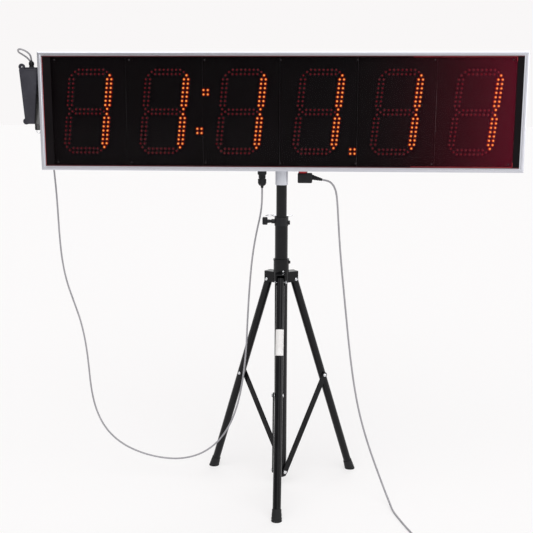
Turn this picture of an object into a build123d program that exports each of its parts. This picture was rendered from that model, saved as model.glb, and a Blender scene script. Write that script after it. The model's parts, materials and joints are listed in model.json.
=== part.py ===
from build123d import *
import math
import os

os.makedirs("parts", exist_ok=True)

# Everything is in millimetres. The model is drawn about the pole's axis, with the floor at z = 0 and the
# display facing -Y, and save() moves each piece so that the origin is at the middle of the footprint.

# Display housing
DISPLAY_W = 1450.0
DISPLAY_H = 352.0
DISPLAY_DEPTH = 70.0
DISPLAY_X = -6.0
DISPLAY_BOTTOM = 1018.0
DISPLAY_FRONT = -45.0
FRAME_FACE = 13.5
FRAME_WALL = 2.0
FILTER_T = 3.0
FILTER_IN_GROOVE = 4.0
FILTER_LEFT_GAP = 26.0
FILTER_RIGHT_GAP = 20.0
FILTER_SCREW_IN = 24.5
COVER_T = 1.5

# Digits: each is drawn with round lamps on a square pitch and leans to the right
LAMP_PITCH = 12.7
LAMP_D = 9.0
LAMP_H = 7.0
DIGIT_COUNT = 6
DIGIT_SPACING = 232.0
DIGIT_SLANT = 0.107
DIGIT_ROWS = 19.4
DIGIT_COLUMNS = 10.05
BOARD_W = 231.6
BOARD_H = 338.0
BOARD_T = 1.6
BOARD_FRONT = DISPLAY_FRONT + 22.0

# Telescopic stand
OUTER_R = 20.0
OUTER_WALL = 2.0
OUTER_BOTTOM = 31.0
OUTER_TOP = 872.0
INNER_R = 16.3
INNER_WALL = 2.0
INNER_BOTTOM = 130.0
INNER_TOP = 1112.0
SLEEVE_R = 19.4
SLEEVE_BOTTOM = 974.0
HEIGHT_STEP = 100.0
PIN_Z = 879.0
PIN_R = 3.0

# Tripod
PIVOT_R = 45.0
PIVOT_Z = 677.0
FOOT_R = 267.0
LEG_R = 12.5
LEG_WALL = 1.5
RIVET_Z = 350.0
RIVET_R = 3.0
BRACE_FOOT_R = 4.0
BRACE_FOOT_Z = 46.0
BRACE_HALF = 9.0
BRACE_T = 4.0
BRACE_LOW_OFFSET = 22.3
BRACE_HIGH_OFFSET = 13.7
LEG_AZIMUTHS = {"front": -90.0, "right": 30.0, "left": 150.0}

# Control box at the display's left end
BOX_TOP_Z = 1320.0
BOX_BOTTOM_Z = 1156.0
BOX_FRONT = -38.0
BOX_DEPTH = 56.0
BOX_LUG_R = 9.6
BOX_GLAND_X = -759.5

# Leads
SIGNAL_D = 5.5
POWER_D = 6.0
POWER_TOTAL = 1950.0
COIL_TURN_R = 33.0
COIL_HEIGHT = 12.4

# Where the pole stands in the finished part's frame
POLE_X = 37.0
POLE_Y = 67.1

display_left = DISPLAY_X - DISPLAY_W / 2
display_right = DISPLAY_X + DISPLAY_W / 2
display_top = DISPLAY_BOTTOM + DISPLAY_H
display_mid_z = DISPLAY_BOTTOM + DISPLAY_H / 2
display_back = DISPLAY_FRONT + DISPLAY_DEPTH

leg_angle = math.degrees(math.atan2(FOOT_R - PIVOT_R, PIVOT_Z))
leg_length = PIVOT_Z / math.cos(math.radians(leg_angle))
rivet_along = (PIVOT_Z - RIVET_Z) / math.cos(math.radians(leg_angle))
rivet_radius = PIVOT_R + rivet_along * math.sin(math.radians(leg_angle))
brace_length = math.hypot(rivet_radius - BRACE_FOOT_R, RIVET_Z - BRACE_FOOT_Z)
brace_angle = math.degrees(math.atan2(rivet_radius - BRACE_FOOT_R, RIVET_Z - BRACE_FOOT_Z))


def save(name, *shapes):
    """Writes one node, moved into the finished part's frame."""
    whole = shapes[0] if len(shapes) == 1 else Compound(list(shapes))
    export_step(Pos(POLE_X, POLE_Y, 0) * whole, f"parts/{name}.step")


def rod(radius, start, end):
    """A round bar between two points."""
    axis = Vector(*end) - Vector(*start)
    plane = Plane(origin=start, z_dir=axis)
    return extrude(plane * Circle(radius), axis.length)


def pipe(radius, bore, start, end):
    return rod(radius, start, end) - rod(bore, start, end)


def block(x0, x1, y0, y1, z0, z1):
    return Pos((x0 + x1) / 2, (y0 + y1) / 2, (z0 + z1) / 2) * Box(x1 - x0, y1 - y0, z1 - z0)


def cone(radius_a, radius_b, start, end):
    """A tapered round bar between two points."""
    axis = Vector(*end) - Vector(*start)
    plane = Plane(origin=start, z_dir=axis)
    return plane * Pos(0, 0, axis.length / 2) * Cone(radius_a, radius_b, axis.length)


def turned(azimuth, shape):
    """Turns a piece drawn on the +X side of the pole to a leg's direction."""
    return Rot(0, 0, azimuth) * shape


# ---------------------------------------------------------------- display housing

def frame_section():
    """Rail section: first number is the distance in from the outer edge, second the depth from the front."""
    wall = FRAME_WALL
    lip = FRAME_FACE
    return [
        (0, 2), (3.5, 0), (8.5, 0), (9.5, 1.2), (lip, 1.2), (lip, 2.8), (wall, 2.8), (wall, 6.2),
        (9, 6.2), (9, 8), (wall, 8), (wall, 63.5), (11, 63.5), (11, 65.5), (wall, 65.5),
        (wall, DISPLAY_DEPTH), (0, DISPLAY_DEPTH),
    ]


def mitred_rail(length):
    """A rail along X with its outer edge on z = 0, its face towards -Y and its ends cut at 45 degrees."""
    outline = [(depth, inward) for inward, depth in frame_section()]
    section = Plane.YZ * make_face(Polyline(*outline, close=True))
    bar = Pos(-length / 2, 0, 0) * extrude(section, length)
    inner = length / 2 - 30
    wedge = make_face(Polyline((-length / 2, 0), (length / 2, 0), (inner, 30), (-inner, 30), close=True))
    cutter = Pos(0, DISPLAY_DEPTH + 5, 0) * extrude(Plane.XZ * wedge, DISPLAY_DEPTH + 10)
    return bar & cutter


def to_display(shape):
    return Pos(DISPLAY_X, DISPLAY_FRONT, display_mid_z) * shape


GLAND_X = -60.0
INLET_X = 65.0

bottom_rail = to_display(Pos(0, 0, -DISPLAY_H / 2) * mitred_rail(DISPLAY_W))
for hole_x, hole_r in ((0.0, SLEEVE_R + 0.2), (GLAND_X, 8.0), (INLET_X, 10.0)):
    bottom_rail -= rod(hole_r, (hole_x, 0, DISPLAY_BOTTOM - 1), (hole_x, 0, DISPLAY_BOTTOM + 20))
SOCKET_BOLTS = [(x, y) for x in (-38.0, 38.0) for y in (-14.0, 14.0)]
for bolt_x, bolt_y in SOCKET_BOLTS:
    bottom_rail -= rod(2.5, (bolt_x, bolt_y, DISPLAY_BOTTOM - 1), (bolt_x, bolt_y, DISPLAY_BOTTOM + 5))
save("frame_bottom", bottom_rail)
save("frame_top", to_display(Pos(0, 0, DISPLAY_H / 2) * Rot(0, 180, 0) * mitred_rail(DISPLAY_W)))
save("frame_left", to_display(Pos(-DISPLAY_W / 2, 0, 0) * Rot(0, 90, 0) * mitred_rail(DISPLAY_H)))
save("frame_right", to_display(Pos(DISPLAY_W / 2, 0, 0) * Rot(0, -90, 0) * mitred_rail(DISPLAY_H)))


def corner_bracket(side_x, side_z):
    """An angle bracket that holds two rails together, inside their walls."""
    reach = 40.0
    edge_x = DISPLAY_W / 2 - FRAME_WALL
    edge_z = DISPLAY_H / 2 - FRAME_WALL
    flat = block(edge_x - reach, edge_x, 34, 50, edge_z - 3, edge_z)
    upright = block(edge_x - 3, edge_x, 34, 50, edge_z - reach, edge_z)
    bracket = flat + upright
    if side_x < 0:
        bracket = mirror(bracket, about=Plane.YZ)
    if side_z < 0:
        bracket = mirror(bracket, about=Plane.XY)
    return to_display(bracket)


save("corner_brackets", *[corner_bracket(sx, sz) for sx in (-1, 1) for sz in (-1, 1)])

# Red filter, with plain dark strips that fill the frame's groove beyond its two ends
filter_left = display_left + FRAME_FACE + FILTER_LEFT_GAP
filter_right = display_right - FRAME_FACE - FILTER_RIGHT_GAP
filter_z0 = DISPLAY_BOTTOM + FILTER_IN_GROOVE
filter_z1 = display_top - FILTER_IN_GROOVE
filter_y0 = DISPLAY_FRONT + 3.0
filter_y1 = filter_y0 + FILTER_T
screw_spots = [
    (x, z)
    for x in [filter_left + 12 + i * (filter_right - filter_left - 24) / 6 for i in range(7)]
    for z in (DISPLAY_BOTTOM + FILTER_SCREW_IN, display_top - FILTER_SCREW_IN)
]
front_filter = block(filter_left, filter_right, filter_y0, filter_y1, filter_z0, filter_z1)
for spot_x, spot_z in screw_spots:
    front_filter -= rod(1.5, (spot_x, filter_y0 - 1, spot_z), (spot_x, filter_y1 + 1, spot_z))
save("front_filter", front_filter)
save(
    "filter_end_strips",
    block(display_left + 4, filter_left - 0.3, filter_y0, filter_y1, filter_z0, filter_z1),
    block(filter_right + 0.3, display_right - 4, filter_y0, filter_y1, filter_z0, filter_z1),
)


def filter_screw(x, z):
    head = rod(2.6, (x, filter_y0 - 1.6, z), (x, filter_y0 - 0.05, z))
    return head + rod(1.45, (x, filter_y0 - 0.05, z), (x, filter_y1 + 6, z))


save("filter_screws", *[filter_screw(x, z) for x, z in screw_spots])

# Rear cover with two groups of cooling slots
cover_y0 = DISPLAY_FRONT + 65.6
cover_y1 = cover_y0 + COVER_T
COVER_GAP = FRAME_WALL + 0.4
cover = to_display(Box(DISPLAY_W - 2 * COVER_GAP, COVER_T, DISPLAY_H - 2 * COVER_GAP))
cover = Pos(0, cover_y0 + COVER_T / 2 - DISPLAY_FRONT, 0) * cover
SLOT_COUNT = 9
SLOT_PITCH = 14.0
for group_x in (-430.0, 430.0):
    for row in range(SLOT_COUNT):
        slot_z = display_mid_z + (row - (SLOT_COUNT - 1) / 2) * SLOT_PITCH
        slot = Plane.XZ * SlotOverall(110, 6)
        cover -= Pos(group_x, cover_y1 + 1, slot_z) * extrude(slot, 4)
COVER_SCREW_PITCH = 236.0
cover_screw_spots = [
    (DISPLAY_X + i * COVER_SCREW_PITCH, z)
    for i in range(-3, 4)
    for z in (DISPLAY_BOTTOM + 7.5, display_top - 7.5)
]
for spot_x, spot_z in cover_screw_spots:
    cover -= rod(1.7, (spot_x, cover_y0 - 1, spot_z), (spot_x, cover_y1 + 1, spot_z))
save("rear_cover", cover)


def cover_screw(x, z):
    head = rod(3.2, (x, cover_y1 + 0.02, z), (x, cover_y1 + 2.2, z))
    return head + rod(1.6, (x, cover_y0 + 0.02, z), (x, cover_y1 + 0.02, z))


save("cover_screws", *[cover_screw(x, z) for x, z in cover_screw_spots])

# ---------------------------------------------------------------- digits and electronics

SEGMENT_LENGTH = 7


def upright_segment(column, first_row):
    """Seven pairs of lamps one above another, with one lamp at each end."""
    lamps = [(column + side, first_row + i) for i in range(SEGMENT_LENGTH) for side in (0, 1)]
    ends = [(column + 0.5, first_row - 0.93), (column + 0.5, first_row + 6.9)]
    return lamps + ends


def level_segment(first_row):
    """Seven pairs of lamps side by side, with one lamp at each end."""
    lamps = [(2.1 + 0.98 * i, first_row + side) for i in range(SEGMENT_LENGTH) for side in (0, 1)]
    ends = [(1.25, first_row + 0.5), (8.85, first_row + 0.5)]
    return lamps + ends


RIGHT_COLUMN = 9.05
UPPER_ROW = 2.2
LOWER_ROW = 11.2
LIT_LAMPS = upright_segment(RIGHT_COLUMN, UPPER_ROW) + upright_segment(RIGHT_COLUMN, LOWER_ROW)
DARK_LAMPS = (
    level_segment(0)
    + level_segment(9.2)
    + level_segment(18.4)
    + upright_segment(0, UPPER_ROW)
    + upright_segment(0, LOWER_ROW)
)

lamp_top_z = display_mid_z + DIGIT_ROWS * LAMP_PITCH / 2
digits_width = (DIGIT_COUNT - 1) * DIGIT_SPACING + DIGIT_COLUMNS * LAMP_PITCH
lean = DIGIT_SLANT * DIGIT_ROWS * LAMP_PITCH
first_column_x = DISPLAY_X - (digits_width - lean) / 2


def lamp(x, z):
    return rod(LAMP_D / 2, (x, BOARD_FRONT, z), (x, BOARD_FRONT - LAMP_H, z))


def digit_lamp(digit, column, row):
    x = first_column_x + digit * DIGIT_SPACING + LAMP_PITCH * (column - DIGIT_SLANT * row)
    return lamp(x, lamp_top_z - LAMP_PITCH * row)


def square_of_lamps(centre_x, centre_z):
    half = LAMP_PITCH / 2
    return [lamp(centre_x + sx * half, centre_z + sz * half) for sx in (-1, 1) for sz in (-1, 1)]


colon_and_point = (
    square_of_lamps(DISPLAY_X - 222, 1251.5)
    + square_of_lamps(DISPLAY_X - 242, 1137)
    + square_of_lamps(DISPLAY_X + 219, 1077.5)
)
lit = [digit_lamp(digit, column, row) for digit in range(DIGIT_COUNT) for column, row in LIT_LAMPS]
dark = [digit_lamp(digit, column, row) for digit in range(DIGIT_COUNT) for column, row in DARK_LAMPS]
save("lit_lamps", *lit, *colon_and_point)
save("dark_lamps", *dark)

board_centres = [DISPLAY_X + (i - (DIGIT_COUNT - 1) / 2) * DIGIT_SPACING for i in range(DIGIT_COUNT)]
board_back = BOARD_FRONT + BOARD_T
board_y = (BOARD_FRONT + board_back) / 2
save("digit_boards", *[Pos(x, board_y, display_mid_z) * Box(BOARD_W, BOARD_T, BOARD_H) for x in board_centres])


def standoff(x, from_y, above_middle):
    z = display_mid_z + above_middle
    return rod(3, (x, from_y, z), (x, cover_y0, z))


CONTROLLER_X = -260.0
CONTROLLER_BACK = -0.4
standoffs = [standoff(x + sx, board_back, sz) for x in board_centres for sx in (-50, 50) for sz in (-140, 140)]
standoffs += [standoff(CONTROLLER_X + sx, CONTROLLER_BACK, sz) for sx in (-62, 62) for sz in (-48, 48)]
save("board_standoffs", *standoffs)
save("power_supply", block(190, 389, -14, cover_y0, display_mid_z - 49, display_mid_z + 49))
controller = Pos(CONTROLLER_X, CONTROLLER_BACK - BOARD_T / 2, display_mid_z) * Box(140, BOARD_T, 110)
controller += Pos(CONTROLLER_X - 5, CONTROLLER_BACK - BOARD_T - 3.5, display_mid_z) * Box(50, 7, 50)
save("controller_board", controller)

# ---------------------------------------------------------------- socket under the display

sleeve = pipe(SLEEVE_R, INNER_R + 0.05, (0, 0, SLEEVE_BOTTOM), (0, 0, INNER_TOP))
sleeve += rod(SLEEVE_R, (0, 0, INNER_TOP), (0, 0, INNER_TOP + 4))
SET_SCREW_Z = 994.0
sleeve -= rod(2.5, (0, 0, SET_SCREW_Z), (0, 25, SET_SCREW_Z))
save("pole_socket", sleeve)
plate = block(-75, 51, -32, 18.4, DISPLAY_BOTTOM + 2, DISPLAY_BOTTOM + 6)
plate -= rod(SLEEVE_R, (0, 0, DISPLAY_BOTTOM), (0, 0, DISPLAY_BOTTOM + 10))
for flange_x in (-35, 35):
    plate += block(flange_x - 15, flange_x + 15, 16, 18.4, DISPLAY_BOTTOM + 6, DISPLAY_BOTTOM + 70)
for bolt_x, bolt_y in SOCKET_BOLTS:
    plate -= rod(2.5, (bolt_x, bolt_y, DISPLAY_BOTTOM), (bolt_x, bolt_y, DISPLAY_BOTTOM + 10))
plate -= rod(8.2, (GLAND_X, 0, DISPLAY_BOTTOM), (GLAND_X, 0, DISPLAY_BOTTOM + 10))
save("socket_plate", plate)


def socket_bolt(x, y):
    head = rod(4.2, (x, y, DISPLAY_BOTTOM - 2.6), (x, y, DISPLAY_BOTTOM))
    return head + rod(2.45, (x, y, DISPLAY_BOTTOM), (x, y, DISPLAY_BOTTOM + 9))


save("socket_bolts", *[socket_bolt(x, y) for x, y in SOCKET_BOLTS])
set_screw = rod(2.45, (0, INNER_R + 0.1, SET_SCREW_Z), (0, 21, SET_SCREW_Z))
set_screw += rod(6, (0, 21, SET_SCREW_Z), (0, 31, SET_SCREW_Z))
save("socket_set_screw", set_screw)

# ---------------------------------------------------------------- glands and power inlet


def hexagon_nut(x, y, z0, z1, across):
    return Pos(x, y, z0) * extrude(RegularPolygon(across / 2, 6, major_radius=False), z1 - z0)


def gland(x, y, face_z, direction, thread_r, across, profile):
    """A screwed cable gland on a horizontal face, pointing up (1) or down (-1), turned to (height, radius) steps."""
    outline = [(0, profile[0][0])] + [(radius, height) for height, radius in profile] + [(0, profile[-1][0])]
    body = hexagon_nut(0, 0, 0, profile[0][0], across)
    body += revolve(Plane.XZ * make_face(Polyline(*outline, close=True)), Axis.Z)
    body += rod(thread_r, (0, 0, -8), (0, 0, 0))
    if direction < 0:
        body = Rot(180, 0, 0) * body
    return Pos(x, y, face_z) * body


DISPLAY_GLAND = [(13, 11), (24, 11), (24, 9.5), (26, 9.5), (26, 12.9), (41, 12.9), (48, 7), (48, 4.8), (54, 4)]
BOX_GLAND = [(4, 6.6), (6, 6.6), (6, 7.8), (15, 7.8), (18.5, 5), (18.5, 4), (21, 3.4)]
save("display_gland", gland(GLAND_X, 0, DISPLAY_BOTTOM, -1, 7.9, 27, DISPLAY_GLAND))
nut = hexagon_nut(GLAND_X, 0, DISPLAY_BOTTOM + 6, DISPLAY_BOTTOM + 10, 24)
nut -= rod(8, (GLAND_X, 0, DISPLAY_BOTTOM), (GLAND_X, 0, DISPLAY_BOTTOM + 20))
save("gland_nut", nut)

inlet = rod(9.9, (INLET_X, 0, DISPLAY_BOTTOM - 6), (INLET_X, 0, DISPLAY_BOTTOM + 16))
inlet += rod(12.5, (INLET_X, 0, DISPLAY_BOTTOM + 2), (INLET_X, 0, DISPLAY_BOTTOM + 5))
save("power_inlet", inlet)
RING_Z0 = DISPLAY_BOTTOM - 7.4
save("locking_ring", pipe(13.6, 10.2, (INLET_X, 0, RING_Z0), (INLET_X, 0, DISPLAY_BOTTOM - 0.3)))
elbow = fillet(block(INLET_X - 16, INLET_X + 28.5, -12.5, 12.5, DISPLAY_BOTTOM - 38, RING_Z0 - 0.3).edges(), 3)
save("elbow_plug", elbow)
RELIEF_END = (125.0, 0, 989.5)
RELIEF_TIP = (124.4, 0, 989.7)
save("power_strain_relief", cone(8.5, 3.6, (INLET_X + 26, 0, 998), RELIEF_TIP) - elbow)

# ---------------------------------------------------------------- control box


def box_outline(z, left, right, inset=0.0):
    """A rounded rectangle at height z, for the tapered housing."""
    middle = (left + right) / 2
    width = right - left - 2 * inset
    depth = BOX_DEPTH - 2 * inset
    return Pos(middle, BOX_FRONT + BOX_DEPTH / 2, z) * RectangleRounded(width, depth, 5 - min(inset, 4))


low_sides = (-778.0, -748.5)
high_sides = (-790.5, -733.5)
housing = loft([box_outline(BOX_BOTTOM_Z, *low_sides), box_outline(BOX_TOP_Z, *high_sides)])
hollow = loft([box_outline(BOX_BOTTOM_Z + 3, *low_sides, 2.5), box_outline(BOX_TOP_Z + 1, *high_sides, 2.5)])
housing -= hollow
for lug_x, lug_z in ((-781.0, BOX_TOP_Z + 5.5), (-774.5, BOX_BOTTOM_Z + 8)):
    lug = rod(BOX_LUG_R, (lug_x, BOX_FRONT + 2, lug_z), (lug_x, BOX_FRONT + 8, lug_z))
    lug -= rod(2.2, (lug_x, BOX_FRONT - 1, lug_z), (lug_x, BOX_FRONT + 10, lug_z))
    housing += lug
    housing -= hollow
save("control_box", housing)
lid = Pos(-762, BOX_FRONT + BOX_DEPTH / 2, BOX_TOP_Z) * extrude(RectangleRounded(56, BOX_DEPTH - 1, 5), 4)
lid -= block(-800, -770, BOX_FRONT - 1, BOX_FRONT + 9, BOX_TOP_Z - 1, BOX_TOP_Z + 5)
lid -= rod(5.4, (BOX_GLAND_X, BOX_FRONT + 30, BOX_TOP_Z - 1), (BOX_GLAND_X, BOX_FRONT + 30, BOX_TOP_Z + 6))
save("control_box_cap", lid)
save("control_box_gland", gland(BOX_GLAND_X, BOX_FRONT + 30, BOX_TOP_Z + 4, 1, 5.2, 14, BOX_GLAND))
save("control_board", block(-773, -756, BOX_FRONT + 24, BOX_FRONT + 25.6, BOX_BOTTOM_Z + 12, BOX_TOP_Z - 12))

# Bent plate that carries the box: it is screwed to the display's end and leans with the box's inner side
arm = [
    (display_left - 2, 1138), (-748.1, 1138), (-748.1, 1156), (-739.9, 1245), (-737.9, 1245), (-746.1, 1156),
    (-746.1, 1140), (display_left - 2, 1140),
]
mount_plate = block(display_left - 2, display_left, -38, 14, 1138, 1292)
lower_arm = Pos(0, 14, 0) * extrude(Plane.XZ * make_face(Polyline(*arm, close=True)), 52)
save("control_bracket", mount_plate + lower_arm)
hook_path = FilletPolyline(
    (-744, -34, 1138), (-744, -34, 1130), (-736, -34, 1127), (-732.5, -34, 1133), radius=[3, 2.5]
)
hook = sweep(Plane(hook_path @ 0, z_dir=hook_path % 0) * Circle(1.2), path=hook_path)
save("cable_hook", hook)

# ---------------------------------------------------------------- telescopic pole

SCREW_Z = 861.0
outer = pipe(OUTER_R, OUTER_R - OUTER_WALL, (0, 0, OUTER_BOTTOM), (0, 0, OUTER_TOP))
outer -= rod(RIVET_R, (-30, 0, SCREW_Z), (0, 0, SCREW_Z))
for azimuth in LEG_AZIMUTHS.values():
    outer -= turned(azimuth, rod(RIVET_R, (BRACE_FOOT_R, 0, BRACE_FOOT_Z), (BRACE_FOOT_R, -30, BRACE_FOOT_Z)))
save("outer_tube", outer)

collar = pipe(21.6, OUTER_R, (0, 0, 848), (0, 0, OUTER_TOP))
collar += pipe(21.6, INNER_R + 0.3, (0, 0, OUTER_TOP), (0, 0, OUTER_TOP + 3))
collar += rod(7, (-31, 0, SCREW_Z), (-19, 0, SCREW_Z)) - rod(OUTER_R, (0, 0, 800), (0, 0, 900))
collar += rod(6.5, (19, 0, SCREW_Z - 4), (26.5, 0, SCREW_Z - 4)) - rod(OUTER_R, (0, 0, 800), (0, 0, 900))
collar -= rod(RIVET_R + 0.08, (-40, 0, SCREW_Z), (0, 0, SCREW_Z))
save("tube_collar", collar)

knob = rod(RIVET_R, (-45, 0, SCREW_Z), (-20.2, 0, SCREW_Z))
knob += cone(6.5, 4.5, (-45, 0, SCREW_Z), (-31.4, 0, SCREW_Z))
knob += fillet(block(-59, -43, -7, 7, 850, 873.6).edges(), 3)
save("clamp_knob", knob)

mast_tube = pipe(INNER_R, INNER_R - INNER_WALL, (0, 0, INNER_BOTTOM), (0, 0, INNER_TOP))
HEIGHT_HOLES = 7
for step in range(HEIGHT_HOLES):
    hole_z = PIN_Z - HEIGHT_STEP * step
    mast_tube -= rod(PIN_R + 0.08, (-25, 0, hole_z), (25, 0, hole_z))
save("inner_tube", mast_tube)
bush = pipe(OUTER_R - OUTER_WALL - 0.3, INNER_R + 0.3, (0, 0, 790), (0, 0, OUTER_TOP - 0.5))
save("guide_bush", bush)

safety_pin = rod(PIN_R, (-24, 0, PIN_Z), (34, 0, PIN_Z))
safety_pin += rod(4, (-26, 0, PIN_Z), (-23.5, 0, PIN_Z))
pin_ring = Pos(-37, 0, PIN_Z) * Torus(11.6, 1.1)
save("safety_pin", safety_pin + pin_ring)

end_plug = rod(OUTER_R - OUTER_WALL, (0, 0, OUTER_BOTTOM + 0.5), (0, 0, 78))
end_plug += rod(OUTER_R, (0, 0, OUTER_BOTTOM - 2.5), (0, 0, OUTER_BOTTOM))
end_plug += rod(OUTER_R - OUTER_WALL, (0, 0, OUTER_BOTTOM - 1), (0, 0, OUTER_BOTTOM + 1))
lower_pins = []
for azimuth in LEG_AZIMUTHS.values():
    shank = rod(RIVET_R, (BRACE_FOOT_R, -10, BRACE_FOOT_Z), (BRACE_FOOT_R, -27, BRACE_FOOT_Z))
    end_plug -= turned(azimuth, shank)
    head = rod(5.5, (BRACE_FOOT_R, -26.8, BRACE_FOOT_Z), (BRACE_FOOT_R, -28.6, BRACE_FOOT_Z))
    washer = rod(5, (BRACE_FOOT_R, -20.3, BRACE_FOOT_Z), (BRACE_FOOT_R, -21.9, BRACE_FOOT_Z))
    lower_pins.append(turned(azimuth, shank + head + washer))
save("tube_end_plug", end_plug)
save("brace_pivot_pins", *lower_pins)

# ---------------------------------------------------------------- sliding hub

hub = rod(24, (0, 0, 671), (0, 0, 744))
hub += rod(25, (0, 0, 739), (0, 0, 744))
hub_pins = []
for azimuth in LEG_AZIMUTHS.values():
    channel = block(15, 52, -16.1, 16.1, 669, 703)
    channel -= block(24, 60, -12.9, 12.9, 660, 699.5)
    channel -= rod(RIVET_R, (PIVOT_R, -20, PIVOT_Z), (PIVOT_R, 20, PIVOT_Z))
    hub += turned(azimuth, channel)
    pivot = rod(RIVET_R, (PIVOT_R, -16.5, PIVOT_Z), (PIVOT_R, 16.5, PIVOT_Z))
    pivot += rod(5, (PIVOT_R, -18.3, PIVOT_Z), (PIVOT_R, -16.1, PIVOT_Z))
    pivot += rod(5, (PIVOT_R, 16.1, PIVOT_Z), (PIVOT_R, 18.3, PIVOT_Z))
    hub_pins.append(turned(azimuth, pivot))
HUB_SCREW_Z = 733.0
hub += rod(5.5, (20, 0, HUB_SCREW_Z), (25.6, 0, HUB_SCREW_Z))
hub -= rod(OUTER_R + 0.3, (0, 0, 600), (0, 0, 800))
hub -= rod(RIVET_R + 0.08, (15, 0, HUB_SCREW_Z), (40, 0, HUB_SCREW_Z))
save("hub", hub)
save("hub_pins", *hub_pins)
hub_screw = rod(RIVET_R, (OUTER_R + 0.4, 0, HUB_SCREW_Z), (27, 0, HUB_SCREW_Z))
hub_screw += rod(4.8, (25.9, 0, HUB_SCREW_Z), (28.6, 0, HUB_SCREW_Z))
save("hub_screw", hub_screw)

# ---------------------------------------------------------------- legs, feet and braces

FOOT_DEPTH = 20.0
FOOT_TALL = 34.0
leg_pose = Pos(PIVOT_R, 0, PIVOT_Z) * Rot(0, -leg_angle, 0)
tube_end = -(leg_length - FOOT_TALL + FOOT_DEPTH)

leg_tube = pipe(LEG_R, LEG_R - LEG_WALL, (0, 0, tube_end), (0, 0, 12))
leg_tube -= rod(RIVET_R + 0.08, (0, -20, 0), (0, 20, 0))
leg_tube -= rod(RIVET_R, (0, -20, -rivet_along), (0, 20, -rivet_along))
leg_rivet = rod(RIVET_R, (0, -13.3, -rivet_along), (0, 13, -rivet_along))
leg_rivet += rod(5, (0, 12.6, -rivet_along), (0, 14.5, -rivet_along))
foot = cone(13.9, 14.2, (0, 0, -leg_length + FOOT_TALL), (0, 0, -leg_length + 26))
foot += cone(14.2, 16.6, (0, 0, -leg_length + 26), (0, 0, -leg_length - 12))
foot -= rod(LEG_R, (0, 0, -leg_length + FOOT_TALL + 1), (0, 0, tube_end))
foot_on_floor = leg_pose * foot - block(0, 400, -50, 50, -60, 0)

brace_skew = math.degrees(math.atan2(BRACE_LOW_OFFSET - BRACE_HIGH_OFFSET, brace_length))
bar_slot = SlotCenterToCenter(brace_length, 2 * BRACE_HALF, rotation=90)
bar_outline = Pos(0, brace_length / 2) * bar_slot
brace = extrude(Plane.XZ * bar_outline, BRACE_T)
brace -= rod(RIVET_R + 0.2, (0, -10, 0), (0, 10, 0))
brace += rod(5, (0, -BRACE_T, brace_length), (0, -BRACE_T - 1.8, brace_length))
brace_turn = Rot(0, brace_angle, 0) * Rot(-brace_skew, 0, 0)
brace_pose = Pos(BRACE_FOOT_R, -BRACE_LOW_OFFSET, BRACE_FOOT_Z) * brace_turn

for name, azimuth in LEG_AZIMUTHS.items():
    save(f"leg_{name}", turned(azimuth, leg_pose * leg_tube))
    save(f"leg_rivet_{name}", turned(azimuth, leg_pose * leg_rivet))
    save(f"foot_{name}", turned(azimuth, foot_on_floor))
    save(f"brace_{name}", turned(azimuth, brace_pose * brace))

# ---------------------------------------------------------------- leads


def lead(name, diameter, points):
    """Straight runs joined by the largest tangent arcs that their two runs allow."""
    radii = []
    for before, here, after in zip(points, points[1:], points[2:]):
        run_in = Vector(*here) - Vector(*before)
        run_out = Vector(*after) - Vector(*here)
        half_turn = math.radians(run_in.get_angle(run_out)) / 2
        radii.append(0.45 * min(run_in.length, run_out.length) / math.tan(half_turn))
    path = FilletPolyline(*points, radius=radii)
    tube = sweep(Plane(path @ 0, z_dir=path % 0) * Circle(diameter / 2), path=path)
    save(name, tube)
    section = math.pi * diameter**2 / 4
    print(name, "length", round(path.length), "radii", [round(r) for r in radii])
    print(name, "least radius", round(min(radii)), "volume ratio", round(tube.volume / section / path.length, 4))
    return path.length


SIGNAL_ROUTE = [
    (-60, 0, 964), (-60, 4, 926), (-65, 18, 882), (-79, 21, 822), (-91, 19, 752), (-98, 17, 680), (-103, 14, 608),
    (-107, 13, 536), (-110, 12, 464), (-116, 12, 392), (-126, 13, 321), (-141, 14, 252), (-166, 16, 186),
    (-206, 18, 126), (-262, 19, 84), (-330, 21, 65), (-400, 23, 68), (-469, 25, 85), (-532, 28, 116),
    (-581, 32, 164), (-611, 36, 228), (-625, 40, 300), (-631, 45, 373), (-639, 50, 445), (-653, 55, 515),
    (-676, 60, 582), (-699, 64, 649), (-712, 67, 720), (-717, 68, 792), (-719, 68, 864), (-721, 67, 936),
    (-725, 65, 1008), (-730, 64, 1080), (-736, 63, 1152), (-744, 63, 1205), (-754, 62, 1248), (-764, 61, 1282),
    (-771.5, 59, 1309), (-777, 55, 1332.5), (-782, 50, 1347), (-790, 44, 1357), (-798, 36, 1363.5),
    (-804, 26, 1368.5), (-806, 14, 1372), (-802.5, 1, 1376.5), (-793.5, -11, 1379), (-781, -18, 1376.5),
    (-769.5, -19, 1371), (-762, -14.5, 1364), (-759.5, -9.8, 1355), (-759.5, -8, 1345),
]
POWER_ROUTE = [
    RELIEF_END, (141.25, 0, 987.5), (154.5, -0.7, 978.5), (163, -1.5, 965), (168.5, -3, 946), (172, -5.5, 912),
    (176, -8, 852), (181, -12, 786), (188, -17, 713), (196, -23, 640), (204, -30, 567), (212, -38, 495),
    (221, -47, 423), (232, -57, 351), (246, -69, 280), (265, -82, 211), (287.5, -97, 145), (312, -112, 82),
    (331, -131, 36), (344, -157, 10), (350, -192, 3.2), (363, -238, 3), (378, -288, 3.1), (394, -334, 3),
    (406, -374, 3), (411, -412, 3),
]
signal_length = lead("signal_cable", SIGNAL_D, SIGNAL_ROUTE)
power_shown = lead("power_lead", POWER_D, POWER_ROUTE)

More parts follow.
